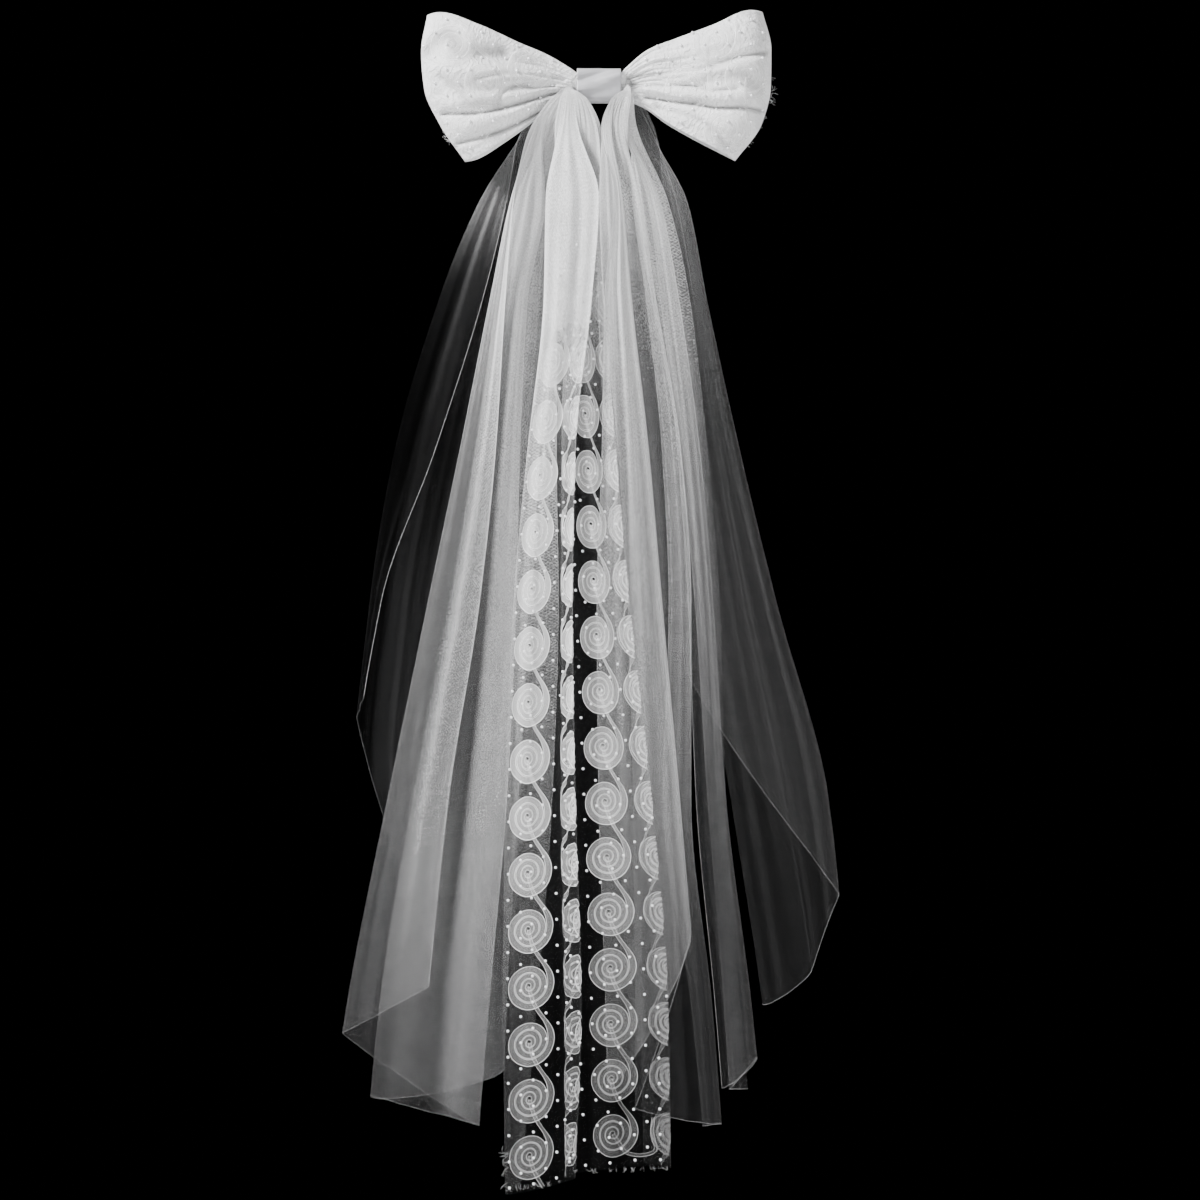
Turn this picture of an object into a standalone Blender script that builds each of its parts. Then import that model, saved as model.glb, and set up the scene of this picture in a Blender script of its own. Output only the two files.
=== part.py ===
"""Lace bridal veil: a satin bow with a wrapped knot, a pleated lace panel and gathered tulle on a clip.

Metres, +Z up, front towards -Y. The origin is the middle of the clip's hair gap, where the veil is worn.
Every cloth piece is a thin wall: a smooth surface through its folds, given a thickness. The tables hold
shares of the named sizes, one row for each fold, crease or edge.
"""

import math
from collections import namedtuple

import bmesh
import bpy

# Overall sizes
VEIL_LENGTH = 0.621  # from the knot's lower edge to the lowest hem
VEIL_SPREAD = 0.280  # across both outer wings
VEIL_DEPTH = 0.062  # from the front fold to the back wings
BOW_SPAN = 0.200
BOW_HEIGHT = 0.086
LOOP_DEPTH = 0.022  # how full a bow loop stands
KNOT_WIDTH = 0.025
KNOT_HEIGHT = 0.0195
KNOT_DEPTH = 0.018
CLIP_LENGTH = 0.072
CLIP_HEIGHT = 0.008
HAIR_GAP = 0.0055

# Walls
CLOTH_WALL = 0.001
BOW_WALL = 0.0016
KNOT_WALL = 0.0012
CLIP_WALL = 0.0015

# Clearances
SEAT_GAP = 0.0003  # between the knot and the clip behind it
LAYER_GAP = 0.0005  # between the cloths held side by side inside the knot
MOUTH_GAP = 0.0011  # from the knot's side edge to where a cloth turns down

# How far a cloth or a bow neck reaches into the knot from its side opening
ROOT_REACH = 0.004
NECK_REACH = 0.006

# Mesh density
COLUMNS_PER_FOLD = 4
SHOULDER_ROWS = 5
FALL_ROWS = 15
LOOP_COLUMNS = 24
KNOT_SIDES = 24
KNOT_ROWS = 6
CLIP_END_FACETS = 8

# Places worked out from the sizes. The knot's centre lies in front of the clip.
KNOT_Y = -(HAIR_GAP / 2 + CLIP_WALL + SEAT_GAP + KNOT_DEPTH / 2)
KNOT_INNER_Y = KNOT_DEPTH / 2 - KNOT_WALL
FRONT_ROOT = -(KNOT_INNER_Y - LAYER_GAP - CLOTH_WALL / 2)
SECOND_ROOT = FRONT_ROOT + CLOTH_WALL + LAYER_GAP
NECK_Y = -(SECOND_ROOT + CLOTH_WALL / 2 + LAYER_GAP + BOW_WALL / 2)
BACK_ROOT = NECK_Y + BOW_WALL / 2 + LAYER_GAP + CLOTH_WALL / 2
NECK_HALF_HEIGHT = 0.36 * KNOT_HEIGHT
ROOT_TOP = 0.05 * KNOT_HEIGHT  # the held end of each cloth, from its outermost fold
ROOT_BOTTOM = -0.27 * KNOT_HEIGHT  # to its innermost
MOUTH_X = KNOT_WIDTH / 2 + MOUTH_GAP

# Drops below the knot, as shares of VEIL_LENGTH, at which the folds' places across are given
STATIONS = (0.025, 0.09, 0.18, 0.32, 0.46, 0.64, 0.825, 1.0)
FULL_DEPTH_AT = 0.18  # the drop by which the folds have opened out to their own depths
OPENING_POWER = 0.33  # under 1, the folds open out soonest just below the knot
ROUNDNESS = 0.8  # 0 folds the cloth sharply, 1 rolls it over at each fold
HUMP_HASTE = 1.3  # over 1, a cloth is clear of the bow loop before it reaches the first station
GATHERED_UNTIL = 0.5  # the share of the way to the second station by which the gathers have become folds
ROW_CROWDING = 1.2  # over 1, the rows lie closer together near the knot

# The way from the knot's side opening to the first station: how far it heads out first, for the outermost
# and the innermost fold, as shares of KNOT_WIDTH, its first drop as a share of KNOT_HEIGHT, and where it
# turns down, as shares of the way back to the opening and of the drop
OUTER_SWING = 0.38
INNER_SWING = 0.14
FIRST_DROP = 0.08
TURN_BACK = 0.25
TURN_HEIGHT = 0.58

# across: places at STATIONS, shares of VEIL_SPREAD from the knot's centre, + to the right
# depth: share of VEIL_DEPTH from the knot's centre plane, + to the back
# hem: the drop of the cut edge, a share of VEIL_LENGTH
# sag: how far the cut edge bows below the straight line to the next fold, a share of VEIL_LENGTH
Fold = namedtuple("Fold", "name across depth hem sag")

LACE_FOLDS = (
    Fold("under_edge", (-0.094, -0.080, -0.084, -0.090, -0.098, -0.108, -0.126, -0.161), -0.16, 0.995, 0),
    Fold("left_fold", (-0.080, -0.108, -0.112, -0.145, -0.173, -0.190, -0.194, -0.190), -0.25, 1.000, 0.003),
    Fold("pleat_crest", (-0.055, -0.014, -0.029, -0.047, -0.053, -0.047, -0.035, -0.049), -0.39, 0.982, 0),
    Fold("pleat_valley", (-0.035, -0.059, -0.067, -0.076, -0.076, -0.076, -0.069, -0.067), -0.15, 0.990, -0.004),
    Fold("right_fold", (-0.010, 0.002, 0.010, 0.035, 0.063, 0.108, 0.141, 0.147), -0.24, 0.971, 0),
    Fold("right_under", (0.002, -0.004, -0.002, 0.012, 0.027, 0.059, 0.084, 0.092), -0.13, 0.978, 0),
)

TULLE_LEFT_FOLDS = (
    Fold("front_edge", (-0.145, -0.173, -0.190, -0.210, -0.243, -0.298, -0.349, -0.382), -0.14, 0.812, 0),
    Fold("left_fold", (-0.132, -0.180, -0.222, -0.284, -0.349, -0.431, -0.512, -0.569), -0.06, 0.855, 0.002),
    Fold("right_fold", (-0.118, -0.110, -0.145, -0.161, -0.169, -0.188, -0.224, -0.255), 0.02, 0.941, 0),
    Fold("back_left_fold", (-0.104, -0.171, -0.202, -0.253, -0.302, -0.380, -0.447, -0.484), 0.10, 0.914, 0.010),
    Fold("back_edge", (-0.088, -0.090, -0.100, -0.120, -0.140, -0.165, -0.188, -0.202), 0.17, 0.890, 0),
)

SHEER_LEFT_FOLDS = (
    Fold("front_edge", (-0.165, -0.190, -0.239, -0.337, -0.447, -0.500, -0.500, -0.500), 0.17, 0.546, 0),
    Fold("outer_fold", (-0.155, -0.247, -0.329, -0.420, -0.469, -0.494, -0.494, -0.494), 0.25, 0.566, 0),
    Fold("back_wave", (-0.135, -0.190, -0.245, -0.320, -0.380, -0.414, -0.400, -0.380), 0.32, 0.700, 0),
    Fold("inner_edge", (-0.110, -0.120, -0.161, -0.202, -0.263, -0.304, -0.310, -0.310), 0.38, 0.830, 0),
)

TULLE_RIGHT_INNER_FOLDS = (
    Fold("left_edge", (0.008, 0.031, 0.012, 0.006, -0.004, 0.000, 0.014, 0.022), -0.68, 0.895, 0.018),
    Fold("right_fold", (0.022, 0.047, 0.065, 0.100, 0.127, 0.163, 0.196, 0.216), -0.615, 0.759, 0),
    Fold("hidden_fold", (0.033, 0.008, 0.016, 0.040, 0.058, 0.069, 0.073, 0.073), -0.55, 0.918, 0.003),
    Fold("far_fold", (0.045, 0.084, 0.114, 0.165, 0.190, 0.198, 0.235, 0.263), -0.485, 0.933, 0),
    Fold("back_edge", (0.057, 0.067, 0.094, 0.127, 0.141, 0.129, 0.186, 0.222), -0.42, 0.936, 0),
)

TULLE_RIGHT_OUTER_FOLDS = (
    Fold("left_edge", (0.045, 0.104, 0.141, 0.176, 0.188, 0.204, 0.239, 0.267), -0.09, 0.905, 0.004),
    Fold("right_fold", (0.055, 0.124, 0.163, 0.206, 0.233, 0.259, 0.310, 0.349), -0.025, 0.878, 0),
    Fold("hidden_fold", (0.063, 0.110, 0.145, 0.182, 0.200, 0.222, 0.255, 0.278), 0.045, 0.908, 0),
    Fold("back_fold", (0.073, 0.141, 0.186, 0.222, 0.247, 0.259, 0.288, 0.324), 0.11, 0.908, 0),
)

SHEER_RIGHT_FOLDS = (
    Fold("front_edge", (0.039, 0.084, 0.114, 0.151, 0.169, 0.186, 0.200, 0.210), 0.17, 0.520, 0),
    Fold("front_wave", (0.063, 0.141, 0.186, 0.245, 0.314, 0.388, 0.440, 0.470), 0.20, 0.671, 0),
    Fold("outer_fold", (0.104, 0.182, 0.222, 0.290, 0.365, 0.471, 0.510, 0.530), 0.27, 0.730, 0),
    Fold("back_wave", (0.113, 0.160, 0.196, 0.243, 0.298, 0.380, 0.445, 0.480), 0.34, 0.800, 0.006),
    Fold("inner_edge", (0.122, 0.135, 0.165, 0.186, 0.206, 0.271, 0.335, 0.380), 0.39, 0.832, 0),
)

# root: the cloth's centre plane inside the knot. side: -1 for the left opening, 1 for the right
# hump: how far the cloth arches clear of the bow loop on its way down, a share of LOOP_DEPTH
Fall = namedtuple("Fall", "name folds root side hump")

FALLS = (
    Fall("lace_panel", LACE_FOLDS, FRONT_ROOT, -1, -0.32),
    Fall("tulle_left", TULLE_LEFT_FOLDS, SECOND_ROOT, -1, -0.32),
    Fall("sheer_left", SHEER_LEFT_FOLDS, BACK_ROOT, -1, 0.14),
    Fall("tulle_right_inner", TULLE_RIGHT_INNER_FOLDS, FRONT_ROOT, 1, -0.32),
    Fall("tulle_right_outer", TULLE_RIGHT_OUTER_FOLDS, SECOND_ROOT, 1, -0.32),
    Fall("sheer_right", SHEER_RIGHT_FOLDS, BACK_ROOT, 1, 0.14),
)

# Places along a bow loop, shares of its length from the knot, at which its two edges are given
EDGE_STATIONS = (0.0, 0.2, 0.4, 0.65, 0.93, 1.0)
# Places across the band, shares from its top edge, at which its outer end is given
END_STATIONS = (0.0, 0.25, 0.5, 0.75, 1.0)

# at_knot, at_end: a crease's place across the band, shares from its top edge
# relief: how far it stands out (+) or sinks in (-), a share of LOOP_DEPTH
Crease = namedtuple("Crease", "name at_knot at_end relief")

LEFT_CREASES = (
    Crease("top_edge", 0.00, 0.00, 0.00),
    Crease("top_ridge", 0.13, 0.11, 0.09),
    Crease("upper_valley", 0.28, 0.25, -0.07),
    Crease("middle_ridge", 0.45, 0.42, 0.13),
    Crease("middle_valley", 0.62, 0.56, -0.10),
    Crease("lower_ridge", 0.71, 0.63, 0.07),
    Crease("deep_valley", 0.80, 0.70, -0.13),
    Crease("lip_ridge", 0.88, 0.80, 0.09),
    Crease("lip_valley", 0.95, 0.90, -0.08),
    Crease("bottom_edge", 1.00, 1.00, 0.02),
)

RIGHT_CREASES = (
    Crease("top_edge", 0.00, 0.00, 0.00),
    Crease("top_ridge", 0.17, 0.13, 0.10),
    Crease("upper_valley", 0.36, 0.28, -0.10),
    Crease("upper_ridge", 0.45, 0.41, 0.10),
    Crease("middle_valley", 0.55, 0.55, -0.09),
    Crease("middle_ridge", 0.70, 0.62, 0.10),
    Crease("deep_valley", 0.85, 0.69, -0.16),
    Crease("lip_ridge", 0.93, 0.85, 0.08),
    Crease("bottom_edge", 1.00, 1.00, 0.00),
)

# rise, fall: the two edges' distances past the neck at EDGE_STATIONS, shares of BOW_HEIGHT
# reach: the outer end's distance from the knot's centre at END_STATIONS, shares of half the BOW_SPAN
Loop = namedtuple("Loop", "name side rise fall reach creases")

LOOPS = (
    Loop(
        "bow_loop_left",
        -1,
        rise=(0.000, 0.115, 0.200, 0.308, 0.394, 0.385),
        fall=(0.000, 0.035, 0.155, 0.290, 0.410, 0.420),
        reach=(0.977, 1.011, 0.994, 0.903, 0.760),
        creases=LEFT_CREASES,
    ),
    Loop(
        "bow_loop_right",
        1,
        rise=(0.000, 0.152, 0.225, 0.307, 0.408, 0.405),
        fall=(0.000, 0.060, 0.167, 0.276, 0.386, 0.414),
        reach=(0.931, 0.980, 0.977, 0.926, 0.774),
        creases=RIGHT_CREASES,
    ),
)

# A loop's fullness in front and behind, shares of LOOP_DEPTH, and how much less of it the band's edges keep
FRONT_FULLNESS = 0.75
BACK_FULLNESS = 0.05
EDGE_LOSS = 0.45
FULLEST_POWER = 1.7  # higher puts the fullest place nearer the outer end
CREASED_FROM = 0.5  # the share of a loop's length at which its creases have their full relief

# The knot's diagonal fold: its ends as shares of half the width and height, then its height and width
RIDGE_START = (-0.65, -0.15)
RIDGE_END = (0.90, 0.52)
RIDGE_HEIGHT = 0.0012
RIDGE_HALF_WIDTH = 0.0030
KNOT_SQUARENESS = 4.6  # 2 would be an ellipse


def smooth_step(t):
    t = min(max(t, 0.0), 1.0)
    return t * t * (3 - 2 * t)


def mix(a, b, t):
    return a + (b - a) * t


def slope_at(stations, values, k):
    """Slope of the smooth curve at point k: none where the values turn back, so it never overshoots."""
    secants = [
        (values[i + 1] - values[i]) / (stations[i + 1] - stations[i])
        for i in (k - 1, k)
        if 0 <= i < len(stations) - 1
    ]
    if len(secants) == 1:
        return secants[0]
    before, after = secants
    if before * after <= 0:
        return 0.0
    return 2 * before * after / (before + after)


def track(stations, values, at):
    """Value at one place of the smooth curve through the values."""
    at = min(max(at, stations[0]), stations[-1])
    k = max(i for i in range(len(stations) - 1) if stations[i] <= at)
    step = stations[k + 1] - stations[k]
    t = (at - stations[k]) / step
    rise = smooth_step(t)
    start_pull = t * (1 - t) ** 2 * step * slope_at(stations, values, k)
    end_pull = t * t * (t - 1) * step * slope_at(stations, values, k + 1)
    return mix(values[k], values[k + 1], rise) + start_pull + end_pull


def shoulder(side, rank, end_x, end_z, t):
    """The way from the knot's side opening (t 0) down to the first station (t 1).

    rank is 0 for the outermost fold, which leaves the opening at its top, and 1 for the innermost.
    """
    start = (side * MOUTH_X, mix(ROOT_TOP, ROOT_BOTTOM, rank))
    out = mix(OUTER_SWING, INNER_SWING, rank) * KNOT_WIDTH
    first = (start[0] + side * out, start[1] - FIRST_DROP * KNOT_HEIGHT)
    below_knot = -KNOT_HEIGHT / 2 - end_z
    last = (mix(end_x, start[0], TURN_BACK), end_z + TURN_HEIGHT * below_knot)
    weights = ((1 - t) ** 3, 3 * t * (1 - t) ** 2, 3 * t * t * (1 - t), t**3)
    points = (start, first, last, (end_x, end_z))
    x = sum(w * p[0] for w, p in zip(weights, points))
    z = sum(w * p[1] for w, p in zip(weights, points))
    return x, z


def fall_columns(fall):
    """One entry for each column of a fall: its two folds, how far it is between them, and its rank."""
    last = len(fall.folds) - 1
    columns = []
    for i in range(last):
        for step in range(COLUMNS_PER_FOLD):
            columns.append((fall.folds[i], fall.folds[i + 1], step / COLUMNS_PER_FOLD, i))
    columns.append((fall.folds[last - 1], fall.folds[last], 1.0, last - 1))
    ranked = []
    for here, there, t, i in columns:
        place = (i + t) / last
        rank = place if fall.side < 0 else 1 - place
        ranked.append((here, there, t, rank))
    return ranked


def fall_point(fall, column, drop):
    """A point of the fall at a drop at or below the first station, as x, y, z."""
    here, there, t, rank = column
    swing = (1 - math.cos(math.pi * t)) / 2
    folding = (drop - STATIONS[0]) / (GATHERED_UNTIL * (STATIONS[1] - STATIONS[0]))
    ease = mix(t, swing, smooth_step(folding))
    x = VEIL_SPREAD * mix(track(STATIONS, here.across, drop), track(STATIONS, there.across, drop), ease)
    opened = min((drop - STATIONS[0]) / (FULL_DEPTH_AT - STATIONS[0]), 1.0) ** OPENING_POWER
    gathered = fall.root + fall.hump * LOOP_DEPTH
    rolled = t + ROUNDNESS * math.sin(2 * math.pi * t) / (2 * math.pi)
    y = mix(gathered, VEIL_DEPTH * mix(here.depth, there.depth, rolled), opened)
    z = -KNOT_HEIGHT / 2 - VEIL_LENGTH * drop
    return x, KNOT_Y + y, z


def fall_grid(fall):
    """Rows of points from inside the knot down to the hem."""
    columns = fall_columns(fall)
    rows = [[] for _ in range(2 + SHOULDER_ROWS + FALL_ROWS)]
    for column in columns:
        here, there, t, rank = column
        swing = (1 - math.cos(math.pi * t)) / 2
        hem = mix(here.hem, there.hem, swing) + here.sag * math.sin(math.pi * t)
        root_z = mix(ROOT_TOP, ROOT_BOTTOM, rank)
        rows[0].append((fall.side * (KNOT_WIDTH / 2 - ROOT_REACH), KNOT_Y + fall.root, root_z))
        rows[1].append((fall.side * MOUTH_X, KNOT_Y + fall.root, root_z))
        end_x, end_y, end_z = fall_point(fall, column, STATIONS[0])
        for k in range(1, SHOULDER_ROWS + 1):
            part = k / SHOULDER_ROWS
            x, z = shoulder(fall.side, rank, end_x, end_z, part)
            y = KNOT_Y + fall.root + smooth_step(HUMP_HASTE * part) * fall.hump * LOOP_DEPTH
            rows[1 + k].append((x, y, z))
        for k in range(1, FALL_ROWS + 1):
            drop = mix(STATIONS[0], hem, (k / FALL_ROWS) ** ROW_CROWDING)
            rows[1 + SHOULDER_ROWS + k].append(fall_point(fall, column, drop))
    return rows


def loop_point(loop, crease, along, behind):
    """A point of a bow loop. along runs from the knot (0) to the outer end (1), in front or behind."""
    share = mix(crease.at_knot, crease.at_end, along)
    reach = BOW_SPAN / 2 * track(END_STATIONS, loop.reach, share)
    x = mix(KNOT_WIDTH / 2, reach, along)
    top = NECK_HALF_HEIGHT + BOW_HEIGHT * track(EDGE_STATIONS, loop.rise, along)
    bottom = -NECK_HALF_HEIGHT - BOW_HEIGHT * track(EDGE_STATIONS, loop.fall, along)
    z = mix(top, bottom, share)
    fullest = FULLEST_POWER / (FULLEST_POWER + 0.5)
    swell = along**FULLEST_POWER / (fullest**FULLEST_POWER * math.sqrt(1 - fullest))
    edge = 1 - EDGE_LOSS * (2 * share - 1) ** 2
    relief = crease.relief * smooth_step(along / CREASED_FROM)
    if behind:
        y = NECK_Y + LOOP_DEPTH * BACK_FULLNESS * swell * edge
    else:
        y = -NECK_Y - LOOP_DEPTH * (FRONT_FULLNESS * swell * edge + relief)
    return loop.side * x, KNOT_Y + math.sqrt(max(1 - along, 0.0)) * y, z


def loop_grid(loop):
    """Rows across the band, one for each crease. Each runs from the knot, round the outer end and back."""
    rows = []
    inner_x = loop.side * (KNOT_WIDTH / 2 - NECK_REACH)
    for crease in loop.creases:
        row = []
        for k in range(LOOP_COLUMNS + 1):
            angle = 2 * math.pi * k / LOOP_COLUMNS
            along = math.sin(angle / 2) ** 2
            row.append(loop_point(loop, crease, along, behind=angle > math.pi))
        neck_z = row[0][2]
        row.insert(0, (inner_x, KNOT_Y - NECK_Y, neck_z))
        row.append((inner_x, KNOT_Y + NECK_Y, neck_z))
        rows.append(row)
    return rows


def ridge_height(x, z):
    """How far the knot's diagonal fold lifts its front at one place."""
    start = (RIDGE_START[0] * KNOT_WIDTH / 2, RIDGE_START[1] * KNOT_HEIGHT / 2)
    end = (RIDGE_END[0] * KNOT_WIDTH / 2, RIDGE_END[1] * KNOT_HEIGHT / 2)
    run = (end[0] - start[0], end[1] - start[1])
    length = math.hypot(*run)
    away = ((z - start[1]) * run[0] - (x - start[0]) * run[1]) / length
    return RIDGE_HEIGHT * math.exp(-((away / RIDGE_HALF_WIDTH) ** 2))


def knot_grid():
    """Rings of points along the knot, each a rounded rectangle round the X axis."""
    half_y = (KNOT_DEPTH - KNOT_WALL) / 2
    half_z = (KNOT_HEIGHT - KNOT_WALL) / 2
    power = 2 / KNOT_SQUARENESS
    rows = []
    for i in range(KNOT_ROWS + 1):
        x = mix(-KNOT_WIDTH / 2, KNOT_WIDTH / 2, i / KNOT_ROWS)
        ring = []
        for k in range(KNOT_SIDES):
            angle = 2 * math.pi * (k + 0.5) / KNOT_SIDES
            cos, sin = math.cos(angle), math.sin(angle)
            y = math.copysign(abs(cos) ** power, cos) * half_y
            z = math.copysign(abs(sin) ** power, sin) * half_z
            if y < 0:
                y -= ridge_height(x, z) * -y / half_y
            ring.append((x, KNOT_Y + y, z))
        rows.append(ring)
    return rows


def clip_grid():
    """Two rings of points, above each other: a flat loop with round ends, open through its middle."""
    radius = (HAIR_GAP + CLIP_WALL) / 2
    centre_x = (CLIP_LENGTH - CLIP_WALL) / 2 - radius
    outline = []
    for side in (1, -1):
        for k in range(CLIP_END_FACETS + 1):
            angle = side * math.pi / 2 - math.pi * k / CLIP_END_FACETS
            outline.append((side * centre_x + radius * math.cos(angle), radius * math.sin(angle)))
    return [[(x, y, z) for x, y in outline] for z in (CLIP_HEIGHT / 2, -CLIP_HEIGHT / 2)]


def thin_wall(name, rows, wall, colour, roughness, metallic=0.0, closed=False, even=False):
    """An object from a grid of points, thickened evenly to both sides. closed joins each row's ends."""
    mesh = bpy.data.meshes.new(name)
    shape = bmesh.new()
    grid = [[shape.verts.new(point) for point in row] for row in rows]
    count = len(rows[0])
    for upper, lower in zip(grid, grid[1:]):
        for k in range(count if closed else count - 1):
            n = (k + 1) % count
            shape.faces.new((upper[k], lower[k], lower[n], upper[n]))
    shape.to_mesh(mesh)
    shape.free()
    mesh.shade_smooth()
    obj = bpy.data.objects.new(name, mesh)
    bpy.context.scene.collection.objects.link(obj)
    solid = obj.modifiers.new("wall", "SOLIDIFY")
    solid.thickness = wall
    solid.offset = 0
    solid.use_even_offset = even
    solid.use_rim = True
    material = bpy.data.materials.new(name)
    material.use_nodes = True
    shader = material.node_tree.nodes["Principled BSDF"]
    shader.inputs["Base Color"].default_value = (*colour, 1)
    shader.inputs["Roughness"].default_value = roughness
    shader.inputs["Metallic"].default_value = metallic
    mesh.materials.append(material)
    return obj


def main():
    for old in list(bpy.data.objects):
        bpy.data.objects.remove(old, do_unlink=True)
    thin_wall("knot_band", knot_grid(), KNOT_WALL, (0.86, 0.86, 0.87), 0.35, closed=True, even=True)
    for loop in LOOPS:
        thin_wall(loop.name, loop_grid(loop), BOW_WALL, (0.90, 0.90, 0.90), 0.55)
    for fall in FALLS:
        thin_wall(fall.name, fall_grid(fall), CLOTH_WALL, (0.88, 0.88, 0.89), 0.80)
    clip = clip_grid()
    thin_wall("hair_clip", clip, CLIP_WALL, (0.55, 0.56, 0.58), 0.30, metallic=1.0, closed=True, even=True)


main()
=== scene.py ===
"""Looks of the lace bridal veil: satin bow under lace, pearl lace panel, gathered tulle and sheer wings."""

import math
import random
from collections import namedtuple

import bmesh
import bpy
import numpy as np
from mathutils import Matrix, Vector
from mathutils.bvhtree import BVHTree


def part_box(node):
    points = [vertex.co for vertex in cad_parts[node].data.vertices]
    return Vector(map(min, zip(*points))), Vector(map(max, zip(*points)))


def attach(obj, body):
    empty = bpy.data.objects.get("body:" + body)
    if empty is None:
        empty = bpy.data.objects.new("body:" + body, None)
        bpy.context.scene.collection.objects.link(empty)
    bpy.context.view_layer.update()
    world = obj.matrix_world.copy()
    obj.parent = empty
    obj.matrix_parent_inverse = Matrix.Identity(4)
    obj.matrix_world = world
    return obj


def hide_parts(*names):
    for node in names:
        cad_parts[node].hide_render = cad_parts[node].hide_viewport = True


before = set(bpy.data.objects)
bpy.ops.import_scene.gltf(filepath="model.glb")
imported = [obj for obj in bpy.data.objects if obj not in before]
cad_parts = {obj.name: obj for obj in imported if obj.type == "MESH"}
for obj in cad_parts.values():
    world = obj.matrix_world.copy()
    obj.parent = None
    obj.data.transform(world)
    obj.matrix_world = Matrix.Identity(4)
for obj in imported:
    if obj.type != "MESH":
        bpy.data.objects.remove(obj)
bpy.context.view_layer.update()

# Sizes read from the frame
MM = 0.001
knot_low, knot_high = (Vector(corner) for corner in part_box("knot_band"))

KNOT_WIDTH = 25 * MM
KNOT_HEIGHT = 19.5 * MM
KNOT_DEPTH = 18 * MM
KNOT_WALL = 1.2 * MM
KNOT_Y = knot_high.y - KNOT_DEPTH / 2
VEIL_LENGTH = 621 * MM
VEIL_SPREAD = 280 * MM
VEIL_DEPTH = 62 * MM
BOW_SPAN = 200 * MM
BOW_HEIGHT = 86 * MM
LOOP_DEPTH = 22 * MM
BOW_WALL = 1.6 * MM
CLOTH_WALL = 1.0 * MM
LAYER_GAP = 0.5 * MM
MOUTH_GAP = 1.1 * MM
ROOT_REACH = 4 * MM
NECK_REACH = 6 * MM

FRONT_ROOT = -(KNOT_DEPTH / 2 - KNOT_WALL - LAYER_GAP - CLOTH_WALL / 2)
SECOND_ROOT = FRONT_ROOT + CLOTH_WALL + LAYER_GAP
NECK_Y = -(SECOND_ROOT + CLOTH_WALL / 2 + LAYER_GAP + BOW_WALL / 2)
BACK_ROOT = NECK_Y + BOW_WALL / 2 + LAYER_GAP + CLOTH_WALL / 2
NECK_HALF_HEIGHT = 0.36 * KNOT_HEIGHT
ROOT_TOP = 0.05 * KNOT_HEIGHT
ROOT_BOTTOM = -0.27 * KNOT_HEIGHT
MOUTH_X = KNOT_WIDTH / 2 + MOUTH_GAP

# How the cloths open out below the knot, as in the solids
STATIONS = (0.025, 0.09, 0.18, 0.32, 0.46, 0.64, 0.825, 1.0)
FULL_DEPTH_AT = 0.18
OPENING_POWER = 0.33
ROUNDNESS = 0.8
HUMP_HASTE = 1.3
GATHERED_UNTIL = 0.5
OUTER_SWING, INNER_SWING = 0.38, 0.14
FIRST_DROP = 0.08
TURN_BACK, TURN_HEIGHT = 0.25, 0.58
LAP_X, LAP_Z = 4.0 * MM, -5.5 * MM
FRONT_HASTE = 2.6

# across: places at STATIONS, shares of VEIL_SPREAD. depth: share of VEIL_DEPTH. hem, sag: shares of VEIL_LENGTH
Fold = namedtuple("Fold", "name across depth hem sag")

LACE_FOLDS = (
    Fold("under_edge", (-0.094, -0.080, -0.084, -0.086, -0.082, -0.095, -0.126, -0.161), -0.16, 0.995, 0),
    Fold("left_fold", (-0.080, -0.108, -0.112, -0.145, -0.173, -0.190, -0.194, -0.190), -0.25, 1.000, 0.003),
    Fold("pleat_crest", (-0.047, 0.000, -0.014, -0.047, -0.053, -0.047, -0.035, -0.049), -0.39, 0.984, 0),
    Fold("pleat_valley", (-0.035, -0.059, -0.067, -0.076, -0.076, -0.076, -0.069, -0.067), -0.15, 0.986, -0.004),
    Fold("right_fold", (0.003, 0.002, 0.010, 0.035, 0.063, 0.108, 0.141, 0.147), -0.24, 0.977, 0),
    Fold("right_under", (0.014, -0.004, -0.002, 0.012, 0.027, 0.059, 0.084, 0.092), -0.13, 0.973, 0),
)

TULLE_LEFT_FOLDS = (
    Fold("front_edge", (-0.145, -0.173, -0.190, -0.210, -0.243, -0.306, -0.349, -0.382), -0.140, 0.812, 0),
    Fold("left_fold", (-0.132, -0.180, -0.222, -0.284, -0.349, -0.431, -0.512, -0.569), -0.060, 0.855, 0.002),
    Fold("right_fold", (-0.118, -0.110, -0.145, -0.161, -0.169, -0.188, -0.224, -0.255), 0.020, 0.941, 0),
    Fold("back_left_fold", (-0.104, -0.171, -0.202, -0.253, -0.302, -0.380, -0.447, -0.484), 0.100, 0.914, 0.010),
    Fold("back_edge", (-0.088, -0.090, -0.100, -0.120, -0.140, -0.165, -0.188, -0.202), 0.170, 0.890, 0),
)

SHEER_LEFT_FOLDS = (
    Fold("front_edge", (-0.165, -0.190, -0.239, -0.337, -0.447, -0.500, -0.500, -0.500), 0.170, 0.546, 0),
    Fold("outer_fold", (-0.155, -0.247, -0.329, -0.420, -0.471, -0.506, -0.494, -0.494), 0.250, 0.566, 0),
    Fold("back_wave", (-0.135, -0.190, -0.245, -0.320, -0.380, -0.414, -0.400, -0.380), 0.320, 0.700, 0),
    Fold("inner_edge", (-0.110, -0.120, -0.161, -0.202, -0.263, -0.304, -0.310, -0.310), 0.380, 0.830, 0),
)

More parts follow.
